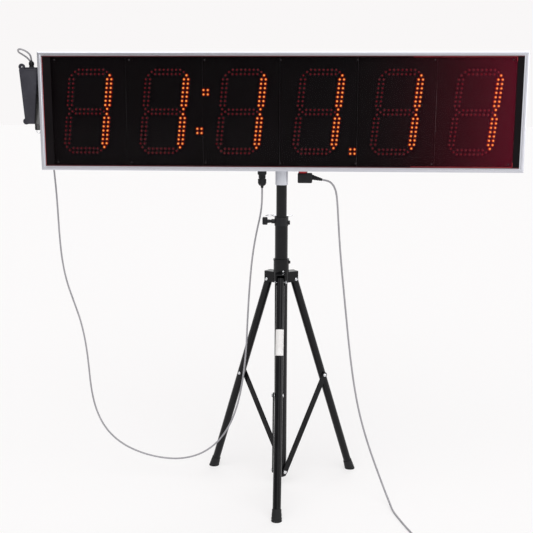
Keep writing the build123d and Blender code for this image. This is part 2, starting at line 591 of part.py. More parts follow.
# The rest of the power lead is wound into a coil, and its plug lies beside the coil
coil_out = COIL_TURN_R + POWER_D
coil_x = POWER_ROUTE[-1][0] - coil_out - POWER_D / 2 - 0.2
coil_y = POWER_ROUTE[-1][1]
coil = pipe(coil_out, COIL_TURN_R - POWER_D, (coil_x, coil_y, 0), (coil_x, coil_y, COIL_HEIGHT))
coil = fillet(coil.edges(), 2.5)
coil += block(coil_x + coil_out - 6, coil_x + coil_out + POWER_D, coil_y - 12, coil_y, 0, POWER_D)
save("power_lead_coil", coil)
wound = POWER_TOTAL - power_shown
print("wound length", round(wound), "turns", round(wound / (2 * math.pi * COIL_TURN_R), 2))

plug_x = coil_x + COIL_TURN_R
plug_y = coil_y - 24
PLUG_Z = 7.0


def plug_section(y, width, height):
    across = Plane(origin=(plug_x, y, PLUG_Z), x_dir=(1, 0, 0), z_dir=(0, -1, 0))
    return across * RectangleRounded(width, height, 0.45 * height)


plug = cone(3.6, 5.5, (plug_x, plug_y, PLUG_Z), (plug_x, plug_y - 34, PLUG_Z))
plug += loft([plug_section(plug_y - 34, 15, 12), plug_section(plug_y - 52, 33, 13.8)])
plug += extrude(plug_section(plug_y - 52, 33, 13.8), 16)
save("mains_plug", plug)
PIN_HALF_SPAN = 9.5


def contact_pin(x):
    return rod(2, (x, plug_y - 68, PLUG_Z), (x, plug_y - 87, PLUG_Z))


save("plug_pins", contact_pin(plug_x - PIN_HALF_SPAN), contact_pin(plug_x + PIN_HALF_SPAN))
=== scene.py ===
import json
import math

import bmesh
import bpy
from mathutils import Matrix, Vector

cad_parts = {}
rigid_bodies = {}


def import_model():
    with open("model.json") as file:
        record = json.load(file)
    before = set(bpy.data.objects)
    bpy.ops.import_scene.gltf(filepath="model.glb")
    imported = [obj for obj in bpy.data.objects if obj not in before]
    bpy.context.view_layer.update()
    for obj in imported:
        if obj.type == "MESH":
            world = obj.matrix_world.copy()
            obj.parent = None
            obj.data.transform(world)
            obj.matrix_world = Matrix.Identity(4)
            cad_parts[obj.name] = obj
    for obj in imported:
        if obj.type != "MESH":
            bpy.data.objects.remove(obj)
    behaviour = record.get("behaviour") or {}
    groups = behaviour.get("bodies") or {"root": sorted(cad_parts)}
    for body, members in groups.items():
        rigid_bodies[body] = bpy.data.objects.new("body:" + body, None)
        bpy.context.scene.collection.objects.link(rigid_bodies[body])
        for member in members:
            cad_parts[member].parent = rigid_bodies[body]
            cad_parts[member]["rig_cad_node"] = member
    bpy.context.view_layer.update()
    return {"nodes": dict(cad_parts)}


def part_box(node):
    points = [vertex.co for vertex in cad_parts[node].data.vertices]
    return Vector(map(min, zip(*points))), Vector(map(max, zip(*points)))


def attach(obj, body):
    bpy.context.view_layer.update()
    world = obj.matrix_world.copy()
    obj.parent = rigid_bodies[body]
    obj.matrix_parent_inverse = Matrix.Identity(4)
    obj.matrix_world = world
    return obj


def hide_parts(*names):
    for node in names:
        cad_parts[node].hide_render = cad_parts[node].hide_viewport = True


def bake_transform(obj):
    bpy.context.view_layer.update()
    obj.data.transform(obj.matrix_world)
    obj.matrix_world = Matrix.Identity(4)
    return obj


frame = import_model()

cad_nodes = frame["nodes"]

# The pole's axis and the display's faces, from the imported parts
tube_low, tube_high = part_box("outer_tube")
POLE = Vector(((tube_low.x + tube_high.x) / 2, (tube_low.y + tube_high.y) / 2, 0))
display_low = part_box("frame_bottom")[0]
display_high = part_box("frame_top")[1]
display_mid = (display_low + display_high) / 2
display_front = display_low.y
FRAME_FACE = 0.0135
filter_low, filter_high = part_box("front_filter")


def at_pole(x, y, z):
    """A point given from the foot of the pole's axis."""
    return POLE + Vector((x, y, z))


# ---------------------------------------------------------------- workshop helpers


def deselect():
    """Leaves nothing selected."""
    bpy.ops.object.select_all(action="DESELECT")


def pick(piece):
    """Makes a piece the only one selected, and the active one."""
    deselect()
    piece.select_set(True)
    bpy.context.view_layer.objects.active = piece


def take(name):
    """Names the primitive that was just added."""
    piece = bpy.context.object
    piece.name = name
    piece.data.name = name
    return piece


def settle(piece):
    """Puts a piece's place, turn and size into its mesh."""
    pick(piece)
    bpy.ops.object.transform_apply(location=True, rotation=True, scale=True)
    return piece


def edit(piece):
    """Opens a piece in edit mode with nothing selected."""
    pick(piece)
    bpy.ops.object.mode_set(mode="EDIT")
    bpy.ops.mesh.select_all(action="DESELECT")


def leave():
    """Goes back to object mode."""
    bpy.ops.object.mode_set(mode="OBJECT")


def select_faces(piece, test):
    """Selects the faces whose middle and normal pass the test, and returns how many did."""
    bpy.ops.mesh.select_mode(type="FACE")
    shape = bmesh.from_edit_mesh(piece.data)
    for face in shape.faces:
        face.select_set(bool(test(face.calc_center_median(), face.normal)))
    shape.select_flush_mode()
    bmesh.update_edit_mesh(piece.data)
    return sum(face.select for face in shape.faces)


def modify(piece, kind, **values):
    """Adds a modifier with these values and applies it."""
    pick(piece)
    modifier = piece.modifiers.new(kind.lower(), kind)
    for key, value in values.items():
        setattr(modifier, key, value)
    bpy.ops.object.modifier_apply(modifier=modifier.name)
    return piece


def round_edges(piece, width, segments=2, angle=30.0):
    """Rounds every edge that is sharper than the angle, in degrees."""
    return modify(
        piece, "BEVEL", width=width, segments=segments, limit_method="ANGLE", angle_limit=math.radians(angle)
    )


def smooth(piece, angle=35.0):
    """Shades a piece smooth, except across edges sharper than the angle."""
    pick(piece)
    bpy.ops.object.shade_smooth_by_angle(angle=math.radians(angle))
    return piece


def block(name, low, high, bevel=0.0, segments=2):
    """A block between two corners, with rounded edges."""
    low, high = Vector(low), Vector(high)
    deselect()
    bpy.ops.mesh.primitive_cube_add(size=1, location=(low + high) / 2)
    piece = take(name)
    piece.scale = high - low
    settle(piece)
    if bevel:
        round_edges(piece, bevel, segments)
        smooth(piece)
    return piece


def turned_piece(name, stations, sides=32):
    """A round piece along +Z: a disc extruded and resized from one (height, radius) to the next."""
    deselect()
    height, radius = stations[0]
    foot = (0, 0, height)
    bpy.ops.mesh.primitive_circle_add(vertices=sides, radius=radius, fill_type="NGON", location=foot)
    piece = take(name)
    settle(piece)
    pick(piece)
    bpy.ops.object.mode_set(mode="EDIT")
    bpy.ops.mesh.select_all(action="SELECT")
    for next_height, next_radius in stations[1:]:
        bpy.ops.mesh.extrude_region_move(TRANSFORM_OT_translate={"value": (0, 0, next_height - height)})
        ratio = next_radius / radius
        bpy.ops.transform.resize(value=(ratio, ratio, 1), center_override=(0, 0, next_height))
        height, radius = next_height, next_radius
    bpy.ops.mesh.select_all(action="SELECT")
    bpy.ops.mesh.normals_make_consistent(inside=False)
    leave()
    return piece


def raise_flutes(piece, low, high, count, depth):
    """Raises every other side face between two heights, for a grip."""
    edit(piece)

    def is_rib(middle, normal):
        turn = math.atan2(middle.y, middle.x) / (2 * math.pi) * count
        return low < middle.z < high and abs(normal.z) < 0.5 and turn % 1.0 < 0.5

    if select_faces(piece, is_rib):
        bpy.ops.mesh.extrude_region_shrink_fatten(TRANSFORM_OT_shrink_fatten={"value": depth})
    leave()
    return piece


def join(name, parts):
    """Joins several pieces into one mesh under this name."""
    deselect()
    for part in parts:
        part.select_set(True)
    bpy.context.view_layer.objects.active = parts[0]
    bpy.ops.object.join()
    parts[0].name = name
    parts[0].data.name = name
    return parts[0]


def repeated(name, model, places):
    """Copies of one model at each place, joined into one piece. The model itself goes."""
    made = []
    for spot in places:
        each = model.copy()
        each.data = model.data.copy()
        bpy.context.collection.objects.link(each)
        each.data.transform(spot)
        made.append(each)
    bpy.data.objects.remove(model)
    return join(name, made)


def along(location, direction):
    """The transform that stands a piece made along +Z at a point, along a direction."""
    turn = Vector(direction).to_track_quat("Z", "Y").to_matrix().to_4x4()
    return Matrix.Translation(location) @ turn


# ---------------------------------------------------------------- finishes


def new_group(name, inputs, outputs):
    """A node group with named sockets. Returns its tree and its two ends."""
    tree = bpy.data.node_groups.new(name, "ShaderNodeTree")
    for label, kind, value in inputs:
        socket = tree.interface.new_socket(name=label, in_out="INPUT", socket_type=kind)
        socket.default_value = value
    for label, kind in outputs:
        tree.interface.new_socket(name=label, in_out="OUTPUT", socket_type=kind)
    start = tree.nodes.new("NodeGroupInput")
    end = tree.nodes.new("NodeGroupOutput")
    return tree, start, end


def grain_group():
    """Fine moulded or sprayed grain: a slow cloud for the colour and a fine height for the bump."""
    tree, start, end = new_group(
        "grain",
        [
            ("Stretch", "NodeSocketVector", (1, 1, 1)),
            ("Cloud Scale", "NodeSocketFloat", 12.0),
            ("Grain Scale", "NodeSocketFloat", 900.0),
        ],
        [("Cloud", "NodeSocketFloat"), ("Height", "NodeSocketFloat")],
    )
    link = tree.links.new
    where = tree.nodes.new("ShaderNodeTexCoord")
    spread = tree.nodes.new("ShaderNodeVectorMath")
    spread.operation = "MULTIPLY"
    link(where.outputs["Object"], spread.inputs[0])
    link(start.outputs["Stretch"], spread.inputs[1])
    cloud = tree.nodes.new("ShaderNodeTexNoise")
    cloud.inputs["Detail"].default_value = 4.0
    cloud.inputs["Roughness"].default_value = 0.6
    link(spread.outputs["Vector"], cloud.inputs["Vector"])
    link(start.outputs["Cloud Scale"], cloud.inputs["Scale"])
    fine = tree.nodes.new("ShaderNodeTexNoise")
    fine.inputs["Detail"].default_value = 2.0
    link(spread.outputs["Vector"], fine.inputs["Vector"])
    link(start.outputs["Grain Scale"], fine.inputs["Scale"])
    wider = tree.nodes.new("ShaderNodeMapRange")
    wider.inputs["From Min"].default_value = 0.3
    wider.inputs["From Max"].default_value = 0.7
    link(cloud.outputs["Fac"], wider.inputs["Value"])
    link(wider.outputs["Result"], end.inputs["Cloud"])
    link(fine.outputs["Fac"], end.inputs["Height"])
    return tree


def scuff_group():
    """Sparse fine scratches and dust, as a mask."""
    tree, start, end = new_group(
        "scuffs",
        [("Scale", "NodeSocketFloat", 60.0), ("Amount", "NodeSocketFloat", 0.3)],
        [("Mask", "NodeSocketFloat")],
    )
    link = tree.links.new
    where = tree.nodes.new("ShaderNodeTexCoord")
    slant = tree.nodes.new("ShaderNodeMapping")
    slant.inputs["Rotation"].default_value = (0.4, 0.7, 0.3)
    slant.inputs["Scale"].default_value = (1.0, 0.12, 1.0)
    link(where.outputs["Object"], slant.inputs["Vector"])
    noise = tree.nodes.new("ShaderNodeTexNoise")
    noise.inputs["Detail"].default_value = 6.0
    link(slant.outputs["Vector"], noise.inputs["Vector"])
    link(start.outputs["Scale"], noise.inputs["Scale"])
    threshold = tree.nodes.new("ShaderNodeMapRange")
    threshold.inputs["From Min"].default_value = 0.62
    threshold.inputs["From Max"].default_value = 0.72
    link(noise.outputs["Fac"], threshold.inputs["Value"])
    strength = tree.nodes.new("ShaderNodeMath")
    strength.operation = "MULTIPLY"
    link(threshold.outputs["Result"], strength.inputs[0])
    link(start.outputs["Amount"], strength.inputs[1])
    link(strength.outputs["Value"], end.inputs["Mask"])
    return tree


GRAIN = grain_group()
SCUFFS = scuff_group()


def blank_material(name):
    """A new material, its node tree and its shader."""
    material = bpy.data.materials.new(name)
    material.use_nodes = True
    tree = material.node_tree
    shader = next(node for node in tree.nodes if node.type == "BSDF_PRINCIPLED")
    return material, tree, shader


def add_group(tree, group, **values):
    """Places a node group with its own values in a material."""
    node = tree.nodes.new("ShaderNodeGroup")
    node.node_tree = group
    for key, value in values.items():
        node.inputs[key.replace("_", " ")].default_value = value
    return node


def mix_colours(tree, factor, first, second):
    """Mixes two colours, each a plain colour or an output socket."""
    mixer = tree.nodes.new("ShaderNodeMix")
    mixer.data_type = "RGBA"
    tree.links.new(factor, mixer.inputs[0])
    for socket, colour in ((mixer.inputs[6], first), (mixer.inputs[7], second)):
        if isinstance(colour, bpy.types.NodeSocket):
            tree.links.new(colour, socket)
        else:
            socket.default_value = (*colour, 1)
    return mixer.outputs[2]


def finish_material(
    name, colour, shade, rough, rough_shade, stretch=(1, 1, 1), cloud=12.0, grain=900.0, depth=0.0001,
    scuff=0.0, scuff_colour=(0.5, 0.5, 0.5), metallic=0.0, specular=0.5, coat=0.0, coat_rough=0.1, bump=0.35,
    **extra
):
    """A finish whose colour and roughness drift between two values, with a fine grain and light scuffs."""
    material, tree, shader = blank_material(name)
    link = tree.links.new
    surface = add_group(tree, GRAIN, Stretch=stretch, Cloud_Scale=cloud, Grain_Scale=grain)
    marks = add_group(tree, SCUFFS, Scale=70.0, Amount=scuff)
    base = mix_colours(tree, surface.outputs["Cloud"], colour, shade)
    base = mix_colours(tree, marks.outputs["Mask"], base, scuff_colour)
    link(base, shader.inputs["Base Color"])
    gloss = tree.nodes.new("ShaderNodeMapRange")
    gloss.inputs["To Min"].default_value = rough
    gloss.inputs["To Max"].default_value = rough_shade
    link(surface.outputs["Cloud"], gloss.inputs["Value"])
    link(gloss.outputs["Result"], shader.inputs["Roughness"])
    relief = tree.nodes.new("ShaderNodeBump")
    relief.inputs["Strength"].default_value = bump
    relief.inputs["Distance"].default_value = depth
    link(surface.outputs["Height"], relief.inputs["Height"])
    link(relief.outputs["Normal"], shader.inputs["Normal"])
    shader.inputs["Metallic"].default_value = metallic
    shader.inputs["Specular IOR Level"].default_value = specular
    shader.inputs["Coat Weight"].default_value = coat
    shader.inputs["Coat Roughness"].default_value = coat_rough
    for key, value in extra.items():
        shader.inputs[key.replace("_", " ")].default_value = value
    return material


def lamp_material(name, lens, ramp, strength):
    """A round lamp: its glow runs from the lens's top to its rim and out over the board. On unlit lamps the
    same glow is a painted reflection of room light.
    """
    material, tree, shader = blank_material(name)
    height = tree.nodes.new("ShaderNodeAttribute")
    height.attribute_name = "glow"
    colours = tree.nodes.new("ShaderNodeValToRGB")
    colours.color_ramp.interpolation = "EASE"
    stops = colours.color_ramp.elements
    while len(stops) < len(ramp):
        stops.new(0.5)
    for stop, (position, colour) in zip(stops, ramp):
        stop.position = position
        stop.color = (*colour, 1)
    tree.links.new(height.outputs["Fac"], colours.inputs["Fac"])
    tree.links.new(colours.outputs["Color"], shader.inputs["Emission Color"])
    surface = add_group(tree, GRAIN, Cloud_Scale=200.0, Grain_Scale=1500.0)
    tint = mix_colours(tree, surface.outputs["Cloud"], lens, tuple(0.7 * c for c in lens))
    tree.links.new(tint, shader.inputs["Base Color"])
    shader.inputs["Emission Strength"].default_value = strength
    shader.inputs["Roughness"].default_value = 0.25
    material.cycles.emission_sampling = "NONE"
    return material


def drawn_rail(name, stretch):
    """Bright drawn aluminium, its grain stretched along the rail."""
    return finish_material(
        name, (0.64, 0.645, 0.695), (0.575, 0.58, 0.63), 0.24, 0.34, stretch=stretch, cloud=160.0,
        grain=1400.0, depth=0.00006, metallic=0.92, scuff=0.12, scuff_colour=(0.85, 0.85, 0.87),
    )


rail_level = drawn_rail("drawn_aluminium_level", (0.02, 1, 1))
rail_upright = drawn_rail("drawn_aluminium_upright", (1, 1, 0.02))
cover_sheet = finish_material(
    "rolled_sheet", (0.60, 0.61, 0.63), (0.52, 0.53, 0.56), 0.42, 0.55, stretch=(0.05, 1, 1), cloud=60.0,
    grain=700.0, depth=0.00008, metallic=0.8, scuff=0.3, scuff_colour=(0.75, 0.75, 0.77),
)
zinc = finish_material(
    "zinc_plate", (0.74, 0.74, 0.75), (0.60, 0.61, 0.64), 0.22, 0.38, cloud=90.0, grain=1200.0, depth=0.00004,
    metallic=1.0,
)
bright_wire = finish_material(
    "bright_wire", (0.86, 0.86, 0.88), (0.74, 0.74, 0.77), 0.10, 0.20, cloud=70.0, grain=900.0, depth=0.00002,
    metallic=1.0,
)
black_paint = finish_material(
    "gloss_black_paint", (0.003, 0.003, 0.0035), (0.005, 0.005, 0.006), 0.12, 0.20, cloud=25.0, grain=260.0,
    depth=0.00010, bump=0.10, scuff=0.08, scuff_colour=(0.04, 0.04, 0.045), specular=0.20, coat=0.06,
)
white_paint = finish_material(
    "white_sleeve_paint", (0.62, 0.63, 0.68), (0.55, 0.56, 0.61), 0.28, 0.40, cloud=20.0, grain=300.0,
    depth=0.00008, bump=0.15, metallic=0.25,
)
black_plastic = finish_material(
    "moulded_black_plastic", (0.005, 0.005, 0.006), (0.008, 0.008, 0.010), 0.30, 0.44, cloud=40.0,
    grain=1600.0, depth=0.0001, scuff=0.10, scuff_colour=(0.05, 0.05, 0.055), specular=0.28,
)
box_plastic = finish_material(
    "control_box_plastic", (0.024, 0.023, 0.031), (0.033, 0.032, 0.043), 0.40, 0.52, cloud=30.0, grain=1500.0,
    depth=0.00014, scuff=0.15, scuff_colour=(0.09, 0.09, 0.10), specular=0.30,
)
black_rubber = finish_material(
    "black_rubber", (0.007, 0.007, 0.008), (0.012, 0.012, 0.013), 0.50, 0.66, cloud=35.0, grain=1100.0,
    depth=0.00018, scuff=0.15, scuff_colour=(0.05, 0.05, 0.05), specular=0.25,
)
cable_sheath = finish_material(
    "grey_cable_sheath", (0.34, 0.33, 0.35), (0.28, 0.275, 0.295), 0.36, 0.48, cloud=18.0, grain=1300.0,
    depth=0.00008, scuff=0.15, scuff_colour=(0.30, 0.29, 0.29), coat=0.1,
)
red_plastic = finish_material(
    "red_moulded_plastic", (0.50, 0.012, 0.022), (0.38, 0.008, 0.016), 0.26, 0.38, cloud=60.0, grain=1300.0,
    depth=0.00006,
)
red_bead_finish = finish_material(
    "red_bead", (0.075, 0.002, 0.006), (0.055, 0.001, 0.004), 0.35, 0.45, cloud=30.0, grain=900.0,
    depth=0.00004,
)
red_edge_finish = finish_material(
    "red_cut_edge", (0.42, 0.010, 0.022), (0.30, 0.006, 0.014), 0.30, 0.42, cloud=30.0, grain=900.0,
    depth=0.00004,
)
strip_finish = finish_material(
    "black_end_strip", (0.003, 0.002, 0.0025), (0.006, 0.004, 0.005), 0.40, 0.52, cloud=14.0, grain=900.0,
    depth=0.00005, specular=0.08,
)
board_finish = finish_material(
    "black_solder_mask", (0.0025, 0.002, 0.002), (0.004, 0.003, 0.003), 0.45, 0.6, cloud=20.0, grain=700.0,
    depth=0.00004, specular=0.15,
)
label_finish = finish_material(
    "plain_paper_label", (0.78, 0.77, 0.76), (0.70, 0.68, 0.67), 0.35, 0.5, cloud=60.0, grain=1200.0,
    depth=0.00004,
)
dark_steel = finish_material(
    "blackened_steel", (0.030, 0.026, 0.028), (0.050, 0.045, 0.048), 0.30, 0.42, cloud=120.0, grain=1400.0,
    depth=0.00003, metallic=0.8,
)


def tinted_sheet():
    """The smoked red filter: nearly black, with painted light that turns it redder towards the +X end, where
    the side light falls.
    """
    material, tree, shader = blank_material("dark_red_filter")
    where = tree.nodes.new("ShaderNodeTexCoord")
    parts = tree.nodes.new("ShaderNodeSeparateXYZ")
    tree.links.new(where.outputs["Object"], parts.inputs[0])
    run = tree.nodes.new("ShaderNodeMapRange")
    run.inputs["From Min"].default_value = filter_low.x + 0.60 * (filter_high.x - filter_low.x)
    run.inputs["From Max"].default_value = filter_high.x
    tree.links.new(parts.outputs["X"], run.inputs["Value"])
    painted_side_glow = tree.nodes.new("ShaderNodeMath")
    painted_side_glow.operation = "POWER"
    painted_side_glow.inputs[1].default_value = 3.0
    tree.links.new(run.outputs["Result"], painted_side_glow.inputs[0])
    surface = add_group(tree, GRAIN, Cloud_Scale=3.0, Grain_Scale=60.0)
    near = mix_colours(tree, surface.outputs["Cloud"], (0.002, 0.001, 0.0015), (0.004, 0.002, 0.003))
    # Painted light: the colour climbs to this red towards the +X end, standing in for the side light's glow
    # there
    colour = mix_colours(tree, painted_side_glow.outputs["Value"], near, (0.155, 0.006, 0.022))
    marks = add_group(tree, SCUFFS, Scale=40.0, Amount=0.03)
    colour = mix_colours(tree, marks.outputs["Mask"], colour, (0.10, 0.03, 0.04))
    tree.links.new(colour, shader.inputs["Base Color"])
    shader.inputs["Roughness"].default_value = 0.05
    shader.inputs["Specular IOR Level"].default_value = 0.06
    shader.inputs["Alpha"].default_value = 0.32
    return material


filter_finish = tinted_sheet()

# Each stop is how far up the lens it lies, from the board (0) to the top (1), and its light there
lit_lens = lamp_material(
    "lit_lens", (0.16, 0.006, 0.003),
    [(0.0, (0.0, 0.0, 0.0)), (0.40, (0.01, 0.0, 0.0)), (0.52, (0.12, 0.0, 0.0)), (0.66, (0.50, 0.008, 0.0)),
     (0.84, (1.0, 0.10, 0.006)), (0.98, (1.0, 0.52, 0.10))],
    2.0,
)
# Painted reflection: the unlit lenses glow dim red at their tops, standing in for room light reflected from
# them; these lamps are not lit
off_lamp_painted_glint = lamp_material(
    "off_lens_with_painted_glint", (0.006, 0.0006, 0.001),
    [(0.0, (0.0, 0.0, 0.0)), (0.62, (0.0, 0.0, 0.0)), (0.80, (0.015, 0.0, 0.001)),
     (0.95, (0.30, 0.004, 0.014))],
    1.0,
)


def paint(piece, material, body=None, replaced=()):
    """Gives a piece its finish and, for a new piece, the body it rides on, and hides the nodes it replaces.
    """
    if "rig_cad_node" in piece:
        for each in piece.material_slots:
            each.material = material
    else:
        piece.data.materials.clear()
        piece.data.materials.append(material)
    if body:
        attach(piece, body)
    if replaced:
        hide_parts(*replaced)
    return piece


for node, material in {
    "frame_bottom": rail_level, "frame_top": rail_level, "frame_left": rail_upright,
    "frame_right": rail_upright, "corner_brackets": zinc, "front_filter": filter_finish,
    "filter_end_strips": strip_finish, "filter_screws": dark_steel, "rear_cover": cover_sheet,
    "cover_screws": zinc, "digit_boards": board_finish, "board_standoffs": zinc,
    "power_supply": cover_sheet, "controller_board": board_finish, "control_board": board_finish,
    "pole_socket": white_paint, "socket_plate": zinc, "socket_bolts": zinc,
    "socket_set_screw": black_plastic, "display_gland": black_plastic, "gland_nut": black_plastic,
    "power_inlet": black_plastic, "locking_ring": red_plastic, "elbow_plug": black_plastic,
    "power_strain_relief": black_rubber, "control_box": box_plastic, "control_box_cap": box_plastic,
    # The aluminium control bracket gets the gloss black paint: painted shade for the shadow it sits in
    "control_box_gland": black_plastic, "control_bracket": black_paint, "cable_hook": bright_wire,
    "outer_tube": black_paint, "tube_collar": black_plastic, "clamp_knob": black_plastic,
    "inner_tube": black_paint, "guide_bush": black_plastic, "safety_pin": bright_wire,
    "tube_end_plug": black_plastic, "brace_pivot_pins": zinc, "hub": black_paint, "hub_pins": zinc,
    "hub_screw": black_plastic, "signal_cable": cable_sheath, "power_lead": cable_sheath,
    "power_lead_coil": cable_sheath, "mains_plug": black_rubber, "plug_pins": zinc,
    "lit_lamps": lit_lens, "dark_lamps": off_lamp_painted_glint, "leg_front": black_paint, "leg_right": black_paint,
    "leg_left": black_paint, "leg_rivet_front": zinc, "leg_rivet_right": zinc, "leg_rivet_left": zinc,
    "foot_front": black_rubber, "foot_right": black_rubber, "foot_left": black_rubber,
    "brace_front": black_paint, "brace_right": black_paint, "brace_left": black_paint,
}.items():
    paint(cad_nodes[node], material)

# ---------------------------------------------------------------- camera and leads

CAMERA_AT = (0.1019, -2.7303, 1.2309)
CAMERA_LENS = 60.19
CAMERA_YAW = math.radians(3.10)
CAMERA_PITCH = math.radians(10.62)
CAMERA_ROLL = math.radians(0.124)
camera_data = bpy.data.cameras.new("camera")
camera_data.lens = CAMERA_LENS
camera_data.sensor_width = 36.0
camera = bpy.data.objects.new("camera", camera_data)
bpy.context.collection.objects.link(camera)
camera.matrix_world = (
    Matrix.Translation(at_pole(*CAMERA_AT))
    @ Matrix.Rotation(CAMERA_YAW, 4, "Z")
    @ Matrix.Rotation(math.pi / 2 - CAMERA_PITCH, 4, "X")
    @ Matrix.Rotation(CAMERA_ROLL, 4, "Z")
)
bpy.context.scene.camera = camera


def lead(name, points, diameter):
    """A round lead as one smooth spline through the route's points."""
    curve = bpy.data.curves.new(name, "CURVE")
    curve.dimensions = "3D"
    spline = curve.splines.new("NURBS")
    spline.points.add(len(points) - 1)
    for target, point in zip(spline.points, points):
        target.co = (*at_pole(*point), 1)
    spline.order_u = 3
    spline.use_endpoint_u = True
    curve.resolution_u = 6
    curve.bevel_depth = diameter / 2
    curve.bevel_resolution = 3
    curve.use_fill_caps = True
    piece = bpy.data.objects.new(name, curve)
    bpy.context.collection.objects.link(piece)
    return piece


def centreline(piece):
    """The points along a lead's own spline."""
    bare = piece.copy()
    bare.data = piece.data.copy()
    bare.data.bevel_depth = 0.0
    bpy.context.collection.objects.link(bare)
    bpy.context.view_layer.update()
    line = bpy.data.meshes.new_from_object(bare)
    points = [vertex.co.copy() for vertex in line.vertices]
    bpy.data.objects.remove(bare)
    return points


SIGNAL_D = 0.0055
POWER_D = 0.006
SIGNAL_ROUTE = [
    (-0.060, 0, 0.964), (-0.060, 0.004, 0.926), (-0.065, 0.018, 0.882), (-0.079, 0.021, 0.822),
    (-0.091, 0.019, 0.752), (-0.098, 0.017, 0.680), (-0.103, 0.014, 0.608), (-0.107, 0.013, 0.536),
    (-0.110, 0.012, 0.464), (-0.116, 0.012, 0.392), (-0.126, 0.013, 0.321), (-0.141, 0.014, 0.252),
    (-0.166, 0.016, 0.186), (-0.206, 0.018, 0.126), (-0.262, 0.019, 0.084), (-0.330, 0.021, 0.065),
    (-0.400, 0.023, 0.068), (-0.469, 0.025, 0.085), (-0.532, 0.028, 0.116), (-0.581, 0.032, 0.164),
    (-0.611, 0.036, 0.228), (-0.625, 0.040, 0.300), (-0.631, 0.045, 0.373), (-0.639, 0.050, 0.445),
    (-0.653, 0.055, 0.515), (-0.676, 0.060, 0.582), (-0.699, 0.064, 0.649), (-0.712, 0.067, 0.720),
    (-0.717, 0.068, 0.792), (-0.719, 0.068, 0.864), (-0.721, 0.067, 0.936), (-0.725, 0.065, 1.008),
    (-0.730, 0.064, 1.080), (-0.736, 0.063, 1.152), (-0.744, 0.063, 1.205), (-0.754, 0.062, 1.248),
    (-0.764, 0.061, 1.282), (-0.7715, 0.059, 1.309), (-0.777, 0.055, 1.3325), (-0.782, 0.050, 1.347),
    (-0.790, 0.044, 1.357), (-0.798, 0.036, 1.3635), (-0.804, 0.026, 1.3685), (-0.806, 0.014, 1.372),
    (-0.8025, 0.001, 1.3765), (-0.7935, -0.011, 1.379), (-0.781, -0.018, 1.3765), (-0.7695, -0.019, 1.371),
    (-0.762, -0.0145, 1.364), (-0.7595, -0.0098, 1.355), (-0.7595, -0.008, 1.345),
]
POWER_ROUTE = [
    (0.125, 0, 0.9895), (0.14125, 0, 0.9875), (0.1545, -0.0007, 0.9785), (0.163, -0.0015, 0.965),
    (0.1685, -0.003, 0.946), (0.172, -0.0055, 0.912), (0.176, -0.008, 0.852), (0.181, -0.012, 0.786),
    (0.188, -0.017, 0.713), (0.196, -0.023, 0.640), (0.204, -0.030, 0.567), (0.212, -0.038, 0.495),
    (0.221, -0.047, 0.423), (0.232, -0.057, 0.351), (0.246, -0.069, 0.280), (0.265, -0.082, 0.211),
    (0.2875, -0.097, 0.145), (0.312, -0.112, 0.082), (0.331, -0.131, 0.036), (0.344, -0.157, 0.010),
    (0.350, -0.192, 0.0032), (0.363, -0.238, 0.003), (0.378, -0.288, 0.0031), (0.394, -0.334, 0.003),
    (0.406, -0.374, 0.003),
]
coil_low, coil_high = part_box("power_lead_coil")
COIL_R = 0.039
coil_x = coil_low.x + COIL_R - POLE.x
coil_y = coil_high.y - COIL_R - POLE.y


def coil_points():
    """Three turns beside and on each other, wound clockwise from the side where the lead comes in."""
    points = []
    per_turn = 14
    wide, narrow, low, high = 0.0357, 0.0297, 0.0031, 0.0092
    # At these turns the lead has this radius and height
    stages = [(0.0, wide, low), (0.86, wide, low), (1.12, narrow, low), (1.62, narrow, low + 0.0003),
              (1.95, narrow + 0.0012, high), (2.30, wide - 0.0020, high), (3.02, wide - 0.0008, high)]
    for step in range(1, int(3.02 * per_turn) + 1):
        turn = step / per_turn
        for (t0, r0, z0), (t1, r1, z1) in zip(stages, stages[1:]):
            if t0 <= turn <= t1:
                share = (turn - t0) / (t1 - t0)
                share = share * share * (3 - 2 * share)
                radius = r0 + (r1 - r0) * share
                height = z0 + (z1 - z0) * share
        angle = -2 * math.pi * turn
        points.append((coil_x + radius * math.cos(angle), coil_y + radius * math.sin(angle), height))
    return points


plug_low, plug_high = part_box("mains_plug")
plug_x = (plug_low.x + plug_high.x) / 2 - POLE.x
plug_start_y = plug_high.y - POLE.y
tail = [(plug_x + 0.0008, coil_y - 0.012, 0.0086), (plug_x, plug_start_y - 0.002, 0.0072)]
signal_cable = lead("signal_cable_sheath", SIGNAL_ROUTE, SIGNAL_D)
paint(signal_cable, cable_sheath, "mast", ["signal_cable"])

power_lead = lead("power_lead_sheath", POWER_ROUTE + coil_points() + tail, POWER_D)
power_line = centreline(power_lead)
pick(power_lead)
bpy.ops.object.convert(target="MESH")
power_lead = bpy.context.object
smooth(power_lead, 60)
power_lead.data.materials.clear()
power_lead.data.materials.append(cable_sheath)
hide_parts("power_lead", "power_lead_coil")
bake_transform(power_lead)

# ---------------------------------------------------------------- lamps

LAMP_PITCH = 0.0127
LAMP_R = 0.0045
DIGIT_COUNT = 6
DIGIT_SPACING = 0.232
DIGIT_SLANT = 0.107
DIGIT_ROWS = 19.4
DIGIT_COLUMNS = 10.05
RIGHT_COLUMN = 9.05
UPPER_ROW = 2.2
LOWER_ROW = 11.2
SEGMENT_LENGTH = 7
lamp_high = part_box("lit_lamps")[1]


def upright_segment(column, first_row):
    """The lamps of an upright bar, two wide, with one at each end, as (column, row)."""
    lamps = [(column + side, first_row + i) for i in range(SEGMENT_LENGTH) for side in (0, 1)]
    return lamps + [(column + 0.5, first_row - 0.93), (column + 0.5, first_row + 6.9)]


def level_segment(first_row):
    """The lamps of a level bar, two high, with one at each end, as (column, row)."""
    lamps = [(2.1 + 0.98 * i, first_row + side) for i in range(SEGMENT_LENGTH) for side in (0, 1)]
    return lamps + [(1.25, first_row + 0.5), (8.85, first_row + 0.5)]


